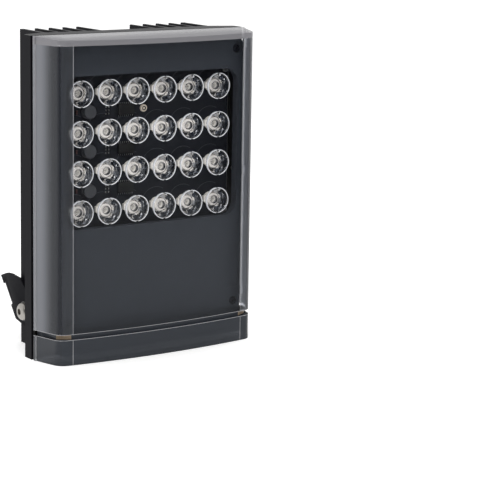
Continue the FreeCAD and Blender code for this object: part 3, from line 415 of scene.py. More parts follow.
def from_bmesh(name: str, shape: bmesh.types.BMesh, sharp: float = 30.0) -> bpy.types.Mesh:
    """Turn a bmesh into a mesh that is smooth but for its sharp edges.

    Args:
        name: The mesh's name.
        shape: The bmesh, which is freed.
        sharp: Edges that turn more than this many degrees stay sharp.

    Returns:
        The new mesh.
    """
    mesh = bpy.data.meshes.new(name)
    shape.to_mesh(mesh)
    shape.free()
    mesh.shade_smooth()
    mesh.set_sharp_from_angle(angle=math.radians(sharp))
    return mesh


def lathe(name: str, profile: Profile, segments: int = 64, closed: bool = True) -> bpy.types.Mesh:
    """Turn a profile round the Y axis.

    Args:
        name: The mesh's name.
        profile: Points of radius and place along Y, walked from the front to the back.
        segments: Steps round the axis.
        closed: Whether the last point joins the first, as on a ring.

    Returns:
        The new mesh, with its normals outwards.
    """
    shape = bmesh.new()
    rings: list[list[bmesh.types.BMVert]] = []
    for radius, along in profile:
        if radius < 1e-7:
            rings.append([shape.verts.new((0.0, along, 0.0))])
            continue
        turns = [2 * math.pi * step / segments for step in range(segments)]
        rings.append([shape.verts.new((radius * math.cos(a), along, radius * math.sin(a))) for a in turns])
    pairs = list(zip(rings, rings[1:]))
    if closed and len(rings[0]) > 1 and len(rings[-1]) > 1:
        pairs.append((rings[-1], rings[0]))
    for first, second in pairs:
        for step in range(segments):
            ahead = (step + 1) % segments
            if len(first) == 1 and len(second) == 1:
                continue
            if len(first) == 1:
                shape.faces.new((first[0], second[step], second[ahead]))
            elif len(second) == 1:
                shape.faces.new((first[step], second[0], first[ahead]))
            else:
                shape.faces.new((first[step], second[step], second[ahead], first[ahead]))
    bmesh.ops.recalc_face_normals(shape, faces=shape.faces)
    return from_bmesh(name, shape)


def circle_outline(radius: float, steps: int, notches: Sequence[float] = (), depth: float = 0.0,
                   width: float = 0.1) -> list[tuple[float, float]]:
    """Points round a circle, let in at some angles.

    Args:
        radius: The circle's radius.
        steps: Points round it.
        notches: Angles of the notches, in radians.
        depth: How far a notch goes in.
        width: Half a notch's angle, in radians.

    Returns:
        Points of X and Z.
    """
    points = []
    for step in range(steps):
        angle = 2 * math.pi * step / steps
        inside = any(abs(math.remainder(angle - notch, 2 * math.pi)) < width for notch in notches)
        reach = radius - (depth if inside else 0.0)
        points.append((reach * math.cos(angle), reach * math.sin(angle)))
    return points


def ring_stack(name: str, rings: Sequence[tuple[Profile, float]], capped: bool) -> bpy.types.Mesh:
    """Join outlines in X and Z that stand one behind another along Y.

    Args:
        name: The mesh's name.
        rings: Each outline and its place along Y.
        capped: Whether flat faces close both ends; if not, the last outline joins the first.

    Returns:
        The new mesh, with its normals outwards.
    """
    shape = bmesh.new()
    rows = [[shape.verts.new((x, along, z)) for x, z in outline] for outline, along in rings]
    pairs = list(zip(rows, rows[1:])) + ([] if capped else [(rows[-1], rows[0])])
    for first, second in pairs:
        for step in range(len(first)):
            ahead = (step + 1) % len(first)
            shape.faces.new((first[step], second[step], second[ahead], first[ahead]))
    if capped:
        shape.faces.new(rows[0])
        shape.faces.new(rows[-1])
    bmesh.ops.recalc_face_normals(shape, faces=shape.faces)
    return from_bmesh(name, shape)


def eased_copy(node: str, name: str, finish: Finish, edge: float = 0.0003, sharp: float = 30.0,
               steps: int = 2, cuts: Sequence[tuple[Point, Point]] = (),
               edge_finish: Finish | None = None) -> bpy.types.Object:
    """Stand in for a CAD node with a merged copy of its mesh whose edges are eased.

    Args:
        node: The CAD node.
        name: Name of the piece that replaces it.
        finish: Its finish.
        edge: Width of the eased edge.
        sharp: Edges that turn more than this many degrees are eased.
        steps: Steps across an eased edge.
        cuts: Planes, as a point and a normal, that split the faces for their own finishes.
        edge_finish: Finish of the eased edges, if it isn't the piece's own.

    Returns:
        The new piece.
    """
    source = frame["nodes"][node]
    shape = bmesh.new()
    shape.from_mesh(source.data)
    bmesh.ops.remove_doubles(shape, verts=shape.verts, dist=1e-7)
    bmesh.ops.dissolve_limit(shape, angle_limit=math.radians(0.1), verts=shape.verts, edges=shape.edges)
    for point, normal in cuts:
        everything = list(shape.verts) + list(shape.edges) + list(shape.faces)
        bmesh.ops.bisect_plane(shape, geom=everything, dist=1e-7, plane_co=point, plane_no=normal)
    mesh = bpy.data.meshes.new(name)
    shape.to_mesh(mesh)
    shape.free()
    mesh.shade_smooth()
    made = link(name, mesh, finish)
    ease = made.modifiers.new("eased_edges", "BEVEL")
    ease.width = edge
    ease.segments = steps
    ease.limit_method = "ANGLE"
    ease.angle_limit = math.radians(sharp)
    ease.harden_normals = True
    ease.use_clamp_overlap = True
    if edge_finish:
        mesh.materials.append(edge_finish.material())
        ease.material = 1
    graph = bpy.context.evaluated_depsgraph_get()
    eased = bpy.data.meshes.new_from_object(made.evaluated_get(graph))
    made.modifiers.remove(ease)
    made.data = eased
    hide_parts(node)
    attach(made, source["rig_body"])
    return made


def centre_of(node: str) -> Vector:
    """Middle of a CAD node's box."""
    low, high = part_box(node)
    return (low + high) / 2


# Geometry Nodes trees

@dataclass
class Tree:
    """A Geometry Nodes tree with named inputs, and helpers that fill it."""

    name: str
    tree: bpy.types.NodeTree = field(init=False)

    def __post_init__(self) -> None:
        """Start the tree with its geometry sockets and its input and output nodes."""
        self.tree = bpy.data.node_groups.new(self.name, "GeometryNodeTree")
        self.tree.interface.new_socket(name="Geometry", in_out="INPUT", socket_type="NodeSocketGeometry")
        self.tree.interface.new_socket(name="Geometry", in_out="OUTPUT", socket_type="NodeSocketGeometry")
        self.entry = self.tree.nodes.new("NodeGroupInput")
        self.leave = self.tree.nodes.new("NodeGroupOutput")

    def input(self, name: str, kind: str) -> None:
        """Add a named input.

        Args:
            name: Its name.
            kind: Its socket type, such as NodeSocketFloat.
        """
        self.tree.interface.new_socket(name=name, in_out="INPUT", socket_type=kind)

    def node(self, kind: str, **values: object) -> bpy.types.Node:
        """Add a node and set its properties."""
        made = self.tree.nodes.new(kind)
        for name, value in values.items():
            setattr(made, name, value)
        return made

    def join(self, start: bpy.types.NodeSocket, end: bpy.types.NodeSocket) -> None:
        """Link one socket to another."""
        self.tree.links.new(start, end)

    def spread(self, piece: bpy.types.NodeSocket) -> bpy.types.Node:
        """Put a piece on every point that comes in.

        Args:
            piece: The socket that holds the piece.

        Returns:
            The node that places the copies.
        """
        points = self.node("GeometryNodeMeshToPoints")
        made = self.node("GeometryNodeInstanceOnPoints")
        self.join(self.entry.outputs["Geometry"], points.inputs["Mesh"])
        self.join(points.outputs["Points"], made.inputs["Points"])
        self.join(piece, made.inputs["Instance"])
        return made

    def close(self, geometry: bpy.types.NodeSocket) -> None:
        """End the tree in Realize Instances and Set Material.

        Args:
            geometry: The socket that holds the finished geometry.
        """
        realize = self.node("GeometryNodeRealizeInstances")
        dress = self.node("GeometryNodeSetMaterial")
        self.join(geometry, realize.inputs["Geometry"])
        self.join(realize.outputs["Geometry"], dress.inputs["Geometry"])
        self.join(self.entry.outputs["Finish"], dress.inputs["Material"])
        self.join(dress.outputs["Geometry"], self.leave.inputs["Geometry"])

    def bake(self, name: str, points: Sequence[Point], values: dict[str, object], body: str,
             slot: str | None = None) -> bpy.types.Object:
        """Run the tree on some points and keep the result as a plain mesh.

        Args:
            name: Name of the finished piece.
            points: Points that the tree starts from.
            values: Value of each named input.
            body: The CAD body that the piece rides on.
            slot: The record's material slot of the piece; not used.

        Returns:
            The finished piece.
        """
        mesh = bpy.data.meshes.new(name + "_points")
        mesh.from_pydata([tuple(point) for point in points], [], [])
        holder = link(name + "_holder", mesh)
        modifier = holder.modifiers.new(self.name, "NODES")
        modifier.node_group = self.tree
        for item in self.tree.interface.items_tree:
            if item.item_type == "SOCKET" and item.in_out == "INPUT" and item.name in values:
                modifier[item.identifier] = values[item.name]
        graph = bpy.context.evaluated_depsgraph_get()
        baked = bpy.data.meshes.new_from_object(holder.evaluated_get(graph))
        holder.modifiers.remove(modifier)
        bpy.data.objects.remove(holder)
        made = link(name, baked)
        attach(made, body)
        LOG.info("%s: %d faces", name, len(baked.polygons))
        return made


def scatter_tree() -> Tree:
    """Tree that puts a turned copy of one piece on every point."""
    tree = Tree("scatter_copies")
    tree.input("Piece", "NodeSocketObject")
    tree.input("Turn", "NodeSocketVector")
    tree.input("Finish", "NodeSocketMaterial")
    piece = tree.node("GeometryNodeObjectInfo")
    tree.join(tree.entry.outputs["Piece"], piece.inputs["Object"])
    spread = tree.spread(piece.outputs["Geometry"])
    tree.join(tree.entry.outputs["Turn"], spread.inputs["Rotation"])
    tree.close(spread.outputs["Instances"])
    return tree


def arc_tree() -> Tree:
    """Tree that draws printed arcs round every point, flat in X and Z."""
    tree = Tree("printed_arcs")
    for name in ("Radius", "Start", "Sweep", "Width", "Thickness"):
        tree.input(name, "NodeSocketFloat")
    tree.input("Finish", "NodeSocketMaterial")
    arc = tree.node("GeometryNodeCurveArc")
    arc.inputs["Resolution"].default_value = 12
    tree.join(tree.entry.outputs["Radius"], arc.inputs["Radius"])
    tree.join(tree.entry.outputs["Start"], arc.inputs["Start Angle"])
    tree.join(tree.entry.outputs["Sweep"], arc.inputs["Sweep Angle"])
    section = tree.node("GeometryNodeCurvePrimitiveQuadrilateral")
    tree.join(tree.entry.outputs["Width"], section.inputs["Width"])
    tree.join(tree.entry.outputs["Thickness"], section.inputs["Height"])
    solid = tree.node("GeometryNodeCurveToMesh")
    solid.inputs["Fill Caps"].default_value = True
    tree.join(arc.outputs["Curve"], solid.inputs["Curve"])
    tree.join(section.outputs["Curve"], solid.inputs["Profile Curve"])
    spread = tree.spread(solid.outputs["Mesh"])
    spread.inputs["Rotation"].default_value = (math.pi / 2, 0.0, 0.0)
    tree.close(spread.outputs["Instances"])
    return tree


def bar_tree() -> Tree:
    """Tree that puts a small square bar on every point, such as a leg or a tinned end."""
    tree = Tree("small_bars")
    tree.input("Size", "NodeSocketVector")
    tree.input("Finish", "NodeSocketMaterial")
    bar = tree.node("GeometryNodeMeshCube")
    tree.join(tree.entry.outputs["Size"], bar.inputs["Size"])
    tree.close(tree.spread(bar.outputs["Mesh"]).outputs["Instances"])
    return tree


def rib_tree() -> Tree:
    """Tree that stands ribs in a ring round every point, along Y."""
    tree = Tree("grip_ribs")
    tree.input("Count", "NodeSocketInt")
    for name in ("Radius", "Rib", "Length"):
        tree.input(name, "NodeSocketFloat")
    tree.input("Finish", "NodeSocketMaterial")
    rib = tree.node("GeometryNodeMeshCylinder")
    rib.inputs["Vertices"].default_value = 10
    tree.join(tree.entry.outputs["Rib"], rib.inputs["Radius"])
    tree.join(tree.entry.outputs["Length"], rib.inputs["Depth"])
    ring = tree.node("GeometryNodeMeshCircle")
    tree.join(tree.entry.outputs["Count"], ring.inputs["Vertices"])
    tree.join(tree.entry.outputs["Radius"], ring.inputs["Radius"])
    crown = tree.node("GeometryNodeInstanceOnPoints")
    tree.join(ring.outputs["Mesh"], crown.inputs["Points"])
    tree.join(rib.outputs["Mesh"], crown.inputs["Instance"])
    spread = tree.spread(crown.outputs["Instances"])
    spread.inputs["Rotation"].default_value = (math.pi / 2, 0.0, 0.0)
    tree.close(spread.outputs["Instances"])
    return tree


@dataclass
class Workshop:
    """The trees that the sub-assemblies share."""

    scatter: Tree = field(default_factory=scatter_tree)
    arcs: Tree = field(default_factory=arc_tree)
    bars: Tree = field(default_factory=bar_tree)
    ribs: Tree = field(default_factory=rib_tree)

    def copies(self, name: str, mesh: bpy.types.Mesh, points: Sequence[Point], finish: Finish,
               replaced: Sequence[str] = (), slot: str | None = None, turn: Point = (0.0, 0.0, 0.0),
               body: str = "lamp") -> bpy.types.Object:
        """Copy one mesh to every point.

        Args:
            name: Name of the finished piece.
            mesh: The mesh of one copy.
            points: Where the copies go.
            finish: Their finish.
            replaced: CAD nodes that the piece stands for.
            slot: The record's material slot.
            turn: Turn of each copy, in radians.
            body: The CAD body that the piece rides on.

        Returns:
            The finished piece.
        """
        pattern = link(name + "_pattern", mesh)
        values = {"Piece": pattern, "Turn": turn, "Finish": finish.material()}
        made = self.scatter.bake(name, points, values, body, slot)
        bpy.data.objects.remove(pattern)
        if replaced:
            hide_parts(*replaced)
        return made


# Sub-assemblies

class Zone(Enum):
    """Parts of a clear cover that have finishes of their own, with their places in its list."""

    PANE = 0
    EDGE = 1
    SIDE = 2
    TOP_WALL = 3
    INSIDE = 4
    CORNER = 5
    GROOVE = 6
    GROOVE_END = 7


@dataclass
class ClearCover:
    """The clear front cover and the band below it, with painted reflections on the walls that are seen edge
    on.
    """

    edge: float = 0.0004
    pane_half: float = 0.078
    line: float = 0.0004
    top_wall: float = 0.2468
    band_top: float = 0.0202
    groove_top: float = 0.0242
    back_half: float = 0.0951
    front_half: float = 0.089
    flange_front: float = -0.015
    corner: float = -0.0401
    front: float = -0.0467
    front_radius: float = 0.608
    skin: float = 0.0012
    corner_depth: float = 0.006
    heart: float = 0.05
    flange_reach: float = 0.0005
    facing: float = 0.5
    sideways: float = 0.6
    upward: float = 0.3
    forward: float = 0.2
    turn_low: float = 0.35
    turn_high: float = 0.94

    def cuts(self) -> list[tuple[Point, Point]]:
        """Planes that split off thin lines at the pane's sides and the groove, which take a painted
        highlight, and the thick top wall.
        """
        levels = (self.top_wall, self.band_top - self.line, self.groove_top, self.groove_top + self.line)
        planes = [((0.0, 0.0, level), (0.0, 0.0, 1.0)) for level in levels]
        for side in (-1, 1):
            for reach in (self.pane_half - self.line / 2, self.pane_half + self.line / 2):
                planes.append(((side * reach, 0.0, 0.0), (1.0, 0.0, 0.0)))
        return planes

    def outside(self, centre: Vector, normal: Vector) -> bool:
        """Whether a face lies on the cover's outer front or side.

        Args:
            centre: Its middle.
            normal: Its normal.

        Returns:
            True where it does.
        """
        outward = Vector((centre.x, centre.y - self.heart, 0.0)).normalized()
        arc = self.front + self.front_radius - math.sqrt(self.front_radius ** 2 - centre.x ** 2)
        share = (centre.y - self.corner) / (self.flange_front - self.corner)
        half = self.front_half + (self.back_half - self.front_half) * share
        skin = self.corner_depth if centre.y < self.corner + self.corner_depth else self.skin
        near = centre.y < arc + self.skin or abs(centre.x) > half - skin
        return near and (abs(normal.z) > self.upward or normal.dot(outward) > self.forward)

    def zone(self, face: bpy.types.MeshPolygon, eased: bool) -> Zone:
        """Zone that a face belongs to.

        Args:
            face: The face.
            eased: Whether it is part of an eased edge.

        Returns:
            The zone.
        """
        centre, normal = face.center, face.normal
        outside = self.outside(centre, normal)
        if centre.z > self.top_wall and (normal.z > self.facing or outside):
            return Zone.EDGE if eased else Zone.TOP_WALL
        if self.band_top < centre.z < self.groove_top and normal.y < -self.forward:
            # Groove faces that turn round a corner take the painted amber glint.
            return Zone.GROOVE_END if self.turn_low < abs(normal.x) < self.turn_high else Zone.GROOVE
        if not outside:
            return Zone.INSIDE
        low_line = -self.line < centre.z - self.band_top < 0.0
        high_line = 0.0 < centre.z - self.groove_top < self.line
        flange = centre.y > self.flange_front - self.flange_reach and normal.y < -self.facing
        if eased or low_line or high_line or flange:
            return Zone.EDGE
        if abs(normal.x) > self.sideways:
            return Zone.SIDE
        if abs(abs(centre.x) - self.pane_half) < self.line / 2:
            return Zone.EDGE
        return Zone.CORNER if abs(centre.x) > self.pane_half else Zone.PANE

    def dress(self, made: bpy.types.Object, finishes: Sequence[Finish]) -> None:
        """Give each zone of a cover its finish.

        Args:
            made: The cover's piece, whose eased edges have the second finish.
            finishes: Finishes in the order of the zones.
        """
        made.data.materials.clear()
        for finish in finishes:
            made.data.materials.append(finish.material())
        for face in made.data.polygons:
            face.material_index = self.zone(face, face.material_index == Zone.EDGE.value).value

    def build(self) -> None:
        """Show both covers with smooth walls."""
        # Painted highlights, reflections, shade and a glint go to the edge, side, top, corner and groove-end
        # zones.
        front = (CLEAR_COVER, COVER_EDGE_HIGHLIGHT, COVER_SIDE_REFLECTION, COVER_TOP_REFLECTION, COVER_INSIDE, COVER_CORNER_SHADE, BAND_FRONT,
                 GROOVE_GLINT)
        band = (BAND_FRONT, COVER_EDGE_HIGHLIGHT, BAND_SIDE, COVER_TOP_REFLECTION, COVER_INSIDE, BAND_FRONT, BAND_FRONT,
                BAND_FRONT)
        for node, finishes in (("front_cover", front), ("lower_cover", band)):
            made = eased_copy(node, node + "_clear", finishes[0], self.edge, cuts=self.cuts(),
                              edge_finish=COVER_EDGE_HIGHLIGHT)
            self.dress(made, finishes)
            LOG.info("%s: %d faces", made.name, len(made.data.polygons))


@dataclass
class EmitterArray:
    """Lenses, their holders and the emitters behind them."""

    shop: Workshop
    rim_radius: float = 0.0105
    rim_inner: float = 0.01005
    rim_depth: float = 0.0016
    face_sink: float = 0.0003
    bowl_radius: float = 0.0099
    foot_radius: float = 0.0050
    pocket_radius: float = 0.0033
    pocket_depth: float = 0.0034
    holder_radius: float = 0.0053
    holder_hole: float = 0.0026
    holder_flare: float = 0.0012
    holder_sink: float = 0.0010
    tab_reach: float = 0.0060
    tab_half: float = 0.0025
    notch_depth: float = 0.0005
    notch_half: float = 0.09
    pocket_crown: float = 0.0011
    base_size: Point = (0.0036, 0.0008, 0.0036)
    chip_size: Point = (0.0012, 0.0001, 0.0012)
    dome_radius: float = 0.0015
    dome_height: float = 0.0014
    wall_facing: float = 0.9
    bowl_steps: int = 12
    pocket_steps: int = 6
    dome_steps: int = 8
    turns: int = 96

    def lens_nodes(self) -> list[str]:
        """Names of the lens nodes."""
        return sorted(name for name in frame["nodes"] if name.startswith("lens_") and name != "lens_holders")

    def fronts(self) -> list[Point]:
        """Middle of each lens's front face."""
        points = []
        for node in self.lens_nodes():
            low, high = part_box(node)
            points.append(((low.x + high.x) / 2, low.y, (low.z + high.z) / 2))
        return points

    def lens_mesh(self) -> bpy.types.Mesh:
        """One lens: a flat front, a bowl that narrows to the foot, and a pocket for the emitter."""
        low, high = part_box(self.lens_nodes()[0])
        length = high.y - low.y
        bowl = []
        for step in range(self.bowl_steps + 1):
            share = step / self.bowl_steps
            radius = self.bowl_radius - (self.bowl_radius - self.foot_radius) * share
            bowl.append((radius, self.rim_depth + (length - self.rim_depth) * share))
        pocket = []
        for step in range(self.pocket_steps + 1):
            angle = math.pi / 2 * step / self.pocket_steps
            depth = self.pocket_depth + self.pocket_crown * math.sin(angle)
            pocket.append((self.pocket_radius * math.cos(angle), length - depth))
        pocket[-1] = (0.0, pocket[-1][1])
        profile = [(0.0, self.face_sink), (self.rim_inner, self.face_sink)] + bowl
        profile += [(self.pocket_radius, length)] + pocket
        return lathe("lens_body", profile, 48)

    def paint_wall_reflection(self, bodies: bpy.types.Object, fronts: Sequence[Point]) -> None:
        """Tint the outer walls of the lenses dark blue-grey, a painted reflection of the dark board that the
        walls mirror.

        Args:
            bodies: The piece that holds every lens.
            fronts: Middle of each lens's front face.
        """
        bodies.data.materials.append(LENS_WALL_REFLECTION.material())
        for face in bodies.data.polygons:
            place = face.center
            radius = min(math.hypot(place.x - x, place.z - z) for x, _, z in fronts)
            if radius > self.foot_radius and abs(face.normal.y) < self.wall_facing:
                face.material_index = len(bodies.data.materials) - 1

    def rim_mesh(self) -> bpy.types.Mesh:
        """Raised ring round a lens's face, with a notch above and below."""
        notches = (math.pi / 2, -math.pi / 2)
        outside = circle_outline(self.rim_radius, self.turns, notches, self.notch_depth, self.notch_half)
        inside = circle_outline(self.rim_inner, self.turns)
        rings = [(inside, 0.0), (outside, 0.0), (outside, self.rim_depth), (inside, self.rim_depth)]
        return ring_stack("lens_rim", rings, capped=False)

    def holder_mesh(self) -> bpy.types.Mesh:
        """Round holder with a tab on each side and a hole for the emitter, front at Y 0."""
        low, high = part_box("lens_holders")
        depth = high.y - low.y
        outside = []
        for x, z in circle_outline(self.holder_radius, self.turns):
            if abs(z) < self.tab_half:
                x = math.copysign(self.tab_reach, x)
            outside.append((x, z))
        inside = circle_outline(self.holder_hole, self.turns)
        flare = circle_outline(self.holder_hole + self.holder_flare, self.turns)
        rings = [(inside, self.holder_sink), (flare, 0.0), (outside, 0.0), (outside, depth), (inside, depth)]
        return ring_stack("holder", rings, capped=False)

    def build(self) -> None:
        """Place lenses, rims, holders and emitters."""
        fronts = self.fronts()
        nodes = self.lens_nodes()
        bodies = self.shop.copies("lens_bodies", self.lens_mesh(), fronts, LENS_CLEAR, nodes, "lens_clear")
        self.paint_wall_reflection(bodies, fronts)
        self.shop.copies("lens_rims", self.rim_mesh(), fronts, LENS_RIM_HIGHLIGHT, slot="lens_clear")
        holder_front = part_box("lens_holders")[0].y
        holders = [(x, holder_front, z) for x, _, z in fronts]
        self.shop.copies("holders", self.holder_mesh(), holders, HOLDER_CREAM, ["lens_holders"],
                         "holder_cream")
        self.emitters(fronts)

    def emitters(self, fronts: Sequence[Point]) -> None:
        """Build each emitter as a base, a chip and a dome, one before another.

        Args:
            fronts: Middle of each lens's front face.
        """
        low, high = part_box("led_emitters")
        chip_back = high.y - self.base_size[1]
        dome_back = max(chip_back - self.chip_size[1], low.y + self.dome_height)
        base = [(x, high.y - self.base_size[1] / 2, z) for x, _, z in fronts]
        values = {"Size": self.base_size, "Finish": EMITTER_BASE.material()}
        pads = self.shop.bars.bake("emitter_bases", base, values, "lamp", "emitter_resin")
        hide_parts("led_emitters")
        chip = [(x, chip_back - self.chip_size[1] / 2, z) for x, _, z in fronts]
        values = {"Size": self.chip_size, "Finish": EMITTER_CHIP.material()}
        self.shop.bars.bake("emitter_chips", chip, values, "lamp", "emitter_resin")
        dome = [(0.0, -self.dome_height)]
        for step in range(1, self.dome_steps + 1):
            angle = math.pi / 2 * step / self.dome_steps
            dome.append((self.dome_radius * math.sin(angle), -self.dome_height * math.cos(angle)))
        dome.append((0.0, 0.0))
        seats = [(x, dome_back, z) for x, _, z in fronts]
        self.shop.copies("emitter_domes", lathe("dome", dome, 24), seats, LENS_CLEAR, slot="emitter_resin")


@dataclass
class EmitterBoard:
    """Print, chips, coils and small parts on the emitter board."""

    shop: Workshop
    print_radius: float = 0.0134
    print_start: float = 60.0
    print_sweep: float = 100.0
    print_width: float = 0.00028
    print_thickness: float = 0.00003
    print_lift: float = 0.00001
    leg_size: Point = (0.0005, 0.0003, 0.0014)
    leg_count: int = 8
    leg_out: float = 0.0006
    end_size: tuple[float, float] = (0.00065, 0.00135)
    end_proud: float = 0.0001
    end_inset: float = 0.0003
    resistor_pitch: float = 0.0026
    coil_edge: float = 0.0005
    coil_groove: float = 0.0009

    def prints(self, sites: Sequence[Point]) -> None:
        """Print arcs round the lens sites.

        Args:
            sites: Places of the lenses.
        """
        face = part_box("led_board")[0].y - self.print_lift
        flat = [(x, face, z) for x, _, z in sites]
        values = {
            "Radius": self.print_radius,
            "Start": math.radians(self.print_start),
            "Sweep": math.radians(self.print_sweep),
            "Width": self.print_width,
            "Thickness": self.print_thickness,
            "Finish": BOARD_PRINT.material(),
        }
        self.shop.arcs.bake("board_arcs", flat, values, "lamp", "board_black")

    def legs(self) -> None:
        """Legs along both long sides of each driver chip."""
        points = []
        for number in (1, 2, 3):
            low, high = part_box(f"driver_chip_{number}")
            for step in range(self.leg_count):
                x = low.x + (step + 0.5) * (high.x - low.x) / self.leg_count
                for z in (low.z - self.leg_out, high.z + self.leg_out):
                    points.append((x, high.y - self.leg_size[1], z))
        values = {"Size": self.leg_size, "Finish": TINNED.material()}
        self.shop.bars.bake("chip_legs", points, values, "lamp", "screw_steel")

    def ends(self) -> None:
        """Tinned ends of the small resistors and capacitors."""
        points = []
        low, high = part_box("sense_resistors")
        middle = (low.y + high.y) / 2
        for number in (1, 2, 3):
            centre = centre_of(f"driver_chip_{number}").z
            for step in (-1, 0, 1):
                for x in (low.x + self.end_inset, high.x - self.end_inset):
                    points.append((x, middle, centre + step * self.resistor_pitch))
        size = (self.end_size[0], high.y - low.y + self.end_proud, self.end_size[1])
        values = {"Size": size, "Finish": TINNED.material()}
        self.shop.bars.bake("resistor_ends", points, values, "lamp", "screw_steel")

    def coils(self) -> None:
        """Coils with a turned top and a groove."""
        low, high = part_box("inductor_1")
        radius, tall = (high.x - low.x) / 2, high.y - low.y
        profile = [
            (0.0, 0.0),
            (radius - self.coil_edge, 0.0),
            (radius, self.coil_edge),
            (radius, tall * 0.28),
            (radius - self.coil_groove, tall * 0.36),
            (radius - self.coil_groove, tall * 0.72),
            (radius, tall * 0.78),
            (radius, tall),
            (0.0, tall),
        ]
        points = []
        nodes = [f"inductor_{number}" for number in (1, 2, 3)]
        for node in nodes:
            low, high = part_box(node)
            points.append(((low.x + high.x) / 2, low.y, (low.z + high.z) / 2))
        self.shop.copies("coils", lathe("coil", profile, 40), points, FERRITE, nodes, "ferrite_grey")

    def build(self, sites: Sequence[Point]) -> None:
        """Add everything that stands on the board.

        Args:
            sites: Places of the lenses.
        """
        self.prints(sites)
        self.legs()
        self.ends()
        self.coils()


@dataclass
class Fasteners:
    """Screws whose heads can be seen."""

    shop: Workshop
    radius: float = 0.0029
    tall: float = 0.0018
    socket: float = 0.0014
    lobe: float = 0.14
    ring_centre: float = 0.0009
    ring_inner: float = 0.0018
    ring_outer: float = 0.0026
    ring_sink: float = 0.0002
    ring_floor: float = 0.0014
    ring_edge: float = 0.0004
    steps: int = 48

    def socket_head(self, name: str) -> bpy.types.Mesh:
        """A pan head with a six-lobed recess, front at Y 0.

        Args:
            name: The mesh's name.

        Returns:
            The head's mesh.
        """
        radius, tall, steps = self.radius, self.tall, self.steps
        lobes = []
        for step in range(steps):
            angle = 2 * math.pi * step / steps
            reach = self.socket * (1.0 - self.lobe + self.lobe * math.cos(6 * angle))
            lobes.append((reach * math.cos(angle), reach * math.sin(angle)))
        rings = [
            (lobes, tall * 0.62),
            (lobes, 0.0),
            (circle_outline(radius * 0.72, steps), 0.0),
            (circle_outline(radius * 0.92, steps), tall * 0.18),
            (circle_outline(radius, steps), tall * 0.45),
            (circle_outline(radius, steps), tall),
        ]
        return ring_stack(name, rings, capped=True)

    def corners(self, low: Vector, high: Vector) -> list[Point]:
        """Places of the heads at the four corners of the screws' box.

        Args:
            low: The box's lowest corner.
            high: The box's highest corner.

        Returns:
            The middle of each head's front.
        """
        columns = (low.x + self.radius, high.x - self.radius)
        rows = (low.z + self.radius, high.z - self.radius)
        return [(x, low.y, z) for x in columns for z in rows]

    def mask_heads(self) -> None:
        """Heads of the four mask screws, in their sunk seats."""
        low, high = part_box("mask_screws")
        head = self.socket_head("mask_head")
        self.shop.copies("mask_screw_heads", head, self.corners(low, high), MASK_SCREW,
                         ["mask_screws"], "screw_black")

    def board_heads(self) -> None:
        """Heads of the board screws at the corners."""
        low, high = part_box("board_screws")
        head = self.socket_head("board_head")
        self.shop.copies("board_screw_heads", head, self.corners(low, high), SCREW_STEEL,
                         ["board_screws"], "screw_steel")

    def ring_head(self) -> None:
        """Head of the board's middle screw, a bright ring round a groove painted near-black as shade."""
        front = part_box("board_screws")[0].y
        middle = (0.0, front, centre_of("inductor_1").z)
        profile = [
            (0.0, self.ring_sink),
            (self.ring_centre, self.ring_sink),
            (self.ring_centre, self.ring_floor),
            (self.ring_inner, self.ring_floor),
            (self.ring_inner, 0.0),
            (self.ring_outer, 0.0),
            (self.radius, self.ring_edge),
            (self.radius, self.tall),
            (0.0, self.tall),
        ]
        ring = lathe("ring_head", profile, 40)
        made = self.shop.copies("board_ring_screw", ring, [middle], SCREW_BRASS, slot="screw_steel")
        # The groove's floor and walls take near-black, painted shade in the recess.
        made.data.materials.append(RING_GROOVE_SHADE.material())
        for face in made.data.polygons:
            radius = math.hypot(face.center.x, face.center.z - middle[2])
            inside = self.ring_centre - 0.0001 < radius < self.ring_inner + 0.0001
            if inside and face.center.y > front + self.ring_sink + 0.0001:
                face.material_index = len(made.data.materials) - 1

    def build(self) -> None:
        """Add every head that shows."""
        self.mask_heads()
        self.board_heads()
        self.ring_head()


@dataclass
class Pivots:
    """Domed pivot screws."""

    head_radius: float = 0.007
    head_height: float = 0.0044
    socket: float = 0.0028
    socket_floor: float = 0.35
    socket_lip: float = 1.1
    rim_share: float = 0.25
    shank_radius: float = 0.004
    shank_length: float = 0.016
    steps: int = 48

    def head_mesh(self) -> bpy.types.Mesh:
        """Domed head with a six-sided socket; its seat is at Y 0 and its top at -Y."""
        key = []
        for step in range(self.steps):
            angle = 2 * math.pi * step / self.steps
            sector = math.remainder(angle, math.pi / 3)
            reach = self.socket * math.cos(math.pi / 6) / math.cos(sector)
            key.append((reach * math.cos(angle), reach * math.sin(angle)))
        rings = [(key, -self.head_height * self.socket_floor), (key, -self.head_height)]
        lip = self.socket * self.socket_lip
        for step in range(1, 9):
            angle = math.pi / 2 * step / 8
            radius = lip + (self.head_radius - lip) * math.sin(angle)
            along = -self.head_height * (self.rim_share + (1.0 - self.rim_share) * math.cos(angle))
            rings.append((circle_outline(radius, self.steps), along))
        rings.append((circle_outline(self.head_radius, self.steps), 0.0))
        return ring_stack("pivot_head", rings, capped=True)

    def build(self) -> None:
        """Stand for both screws with a head and a shank each."""
        low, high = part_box("pivot_screws")
        centre = centre_of("pivot_screws")
        shape = bmesh.new()
        for side in (-1.0, 1.0):
            seat = side * (high.x - self.head_height)
            turn = Matrix.Rotation(side * math.pi / 2, 4, "Z")
            place = Matrix.Translation((seat, centre.y, centre.z)) @ turn
            head = self.head_mesh()
            head.transform(place)
            shape.from_mesh(head)
            radius, length = self.shank_radius, self.shank_length
            shank = lathe("pivot_shank", [(0.0, 0.0), (radius, 0.0), (radius, length), (0.0, length)], 40)
            shank.transform(place)
            shape.from_mesh(shank)
        made = link("pivot_screw_pair", from_bmesh("pivot_screw_pair", shape), PIVOT_STEEL)
        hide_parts("pivot_screws")
        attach(made, "lamp")
        LOG.info("%s: %d faces", made.name, len(made.data.polygons))


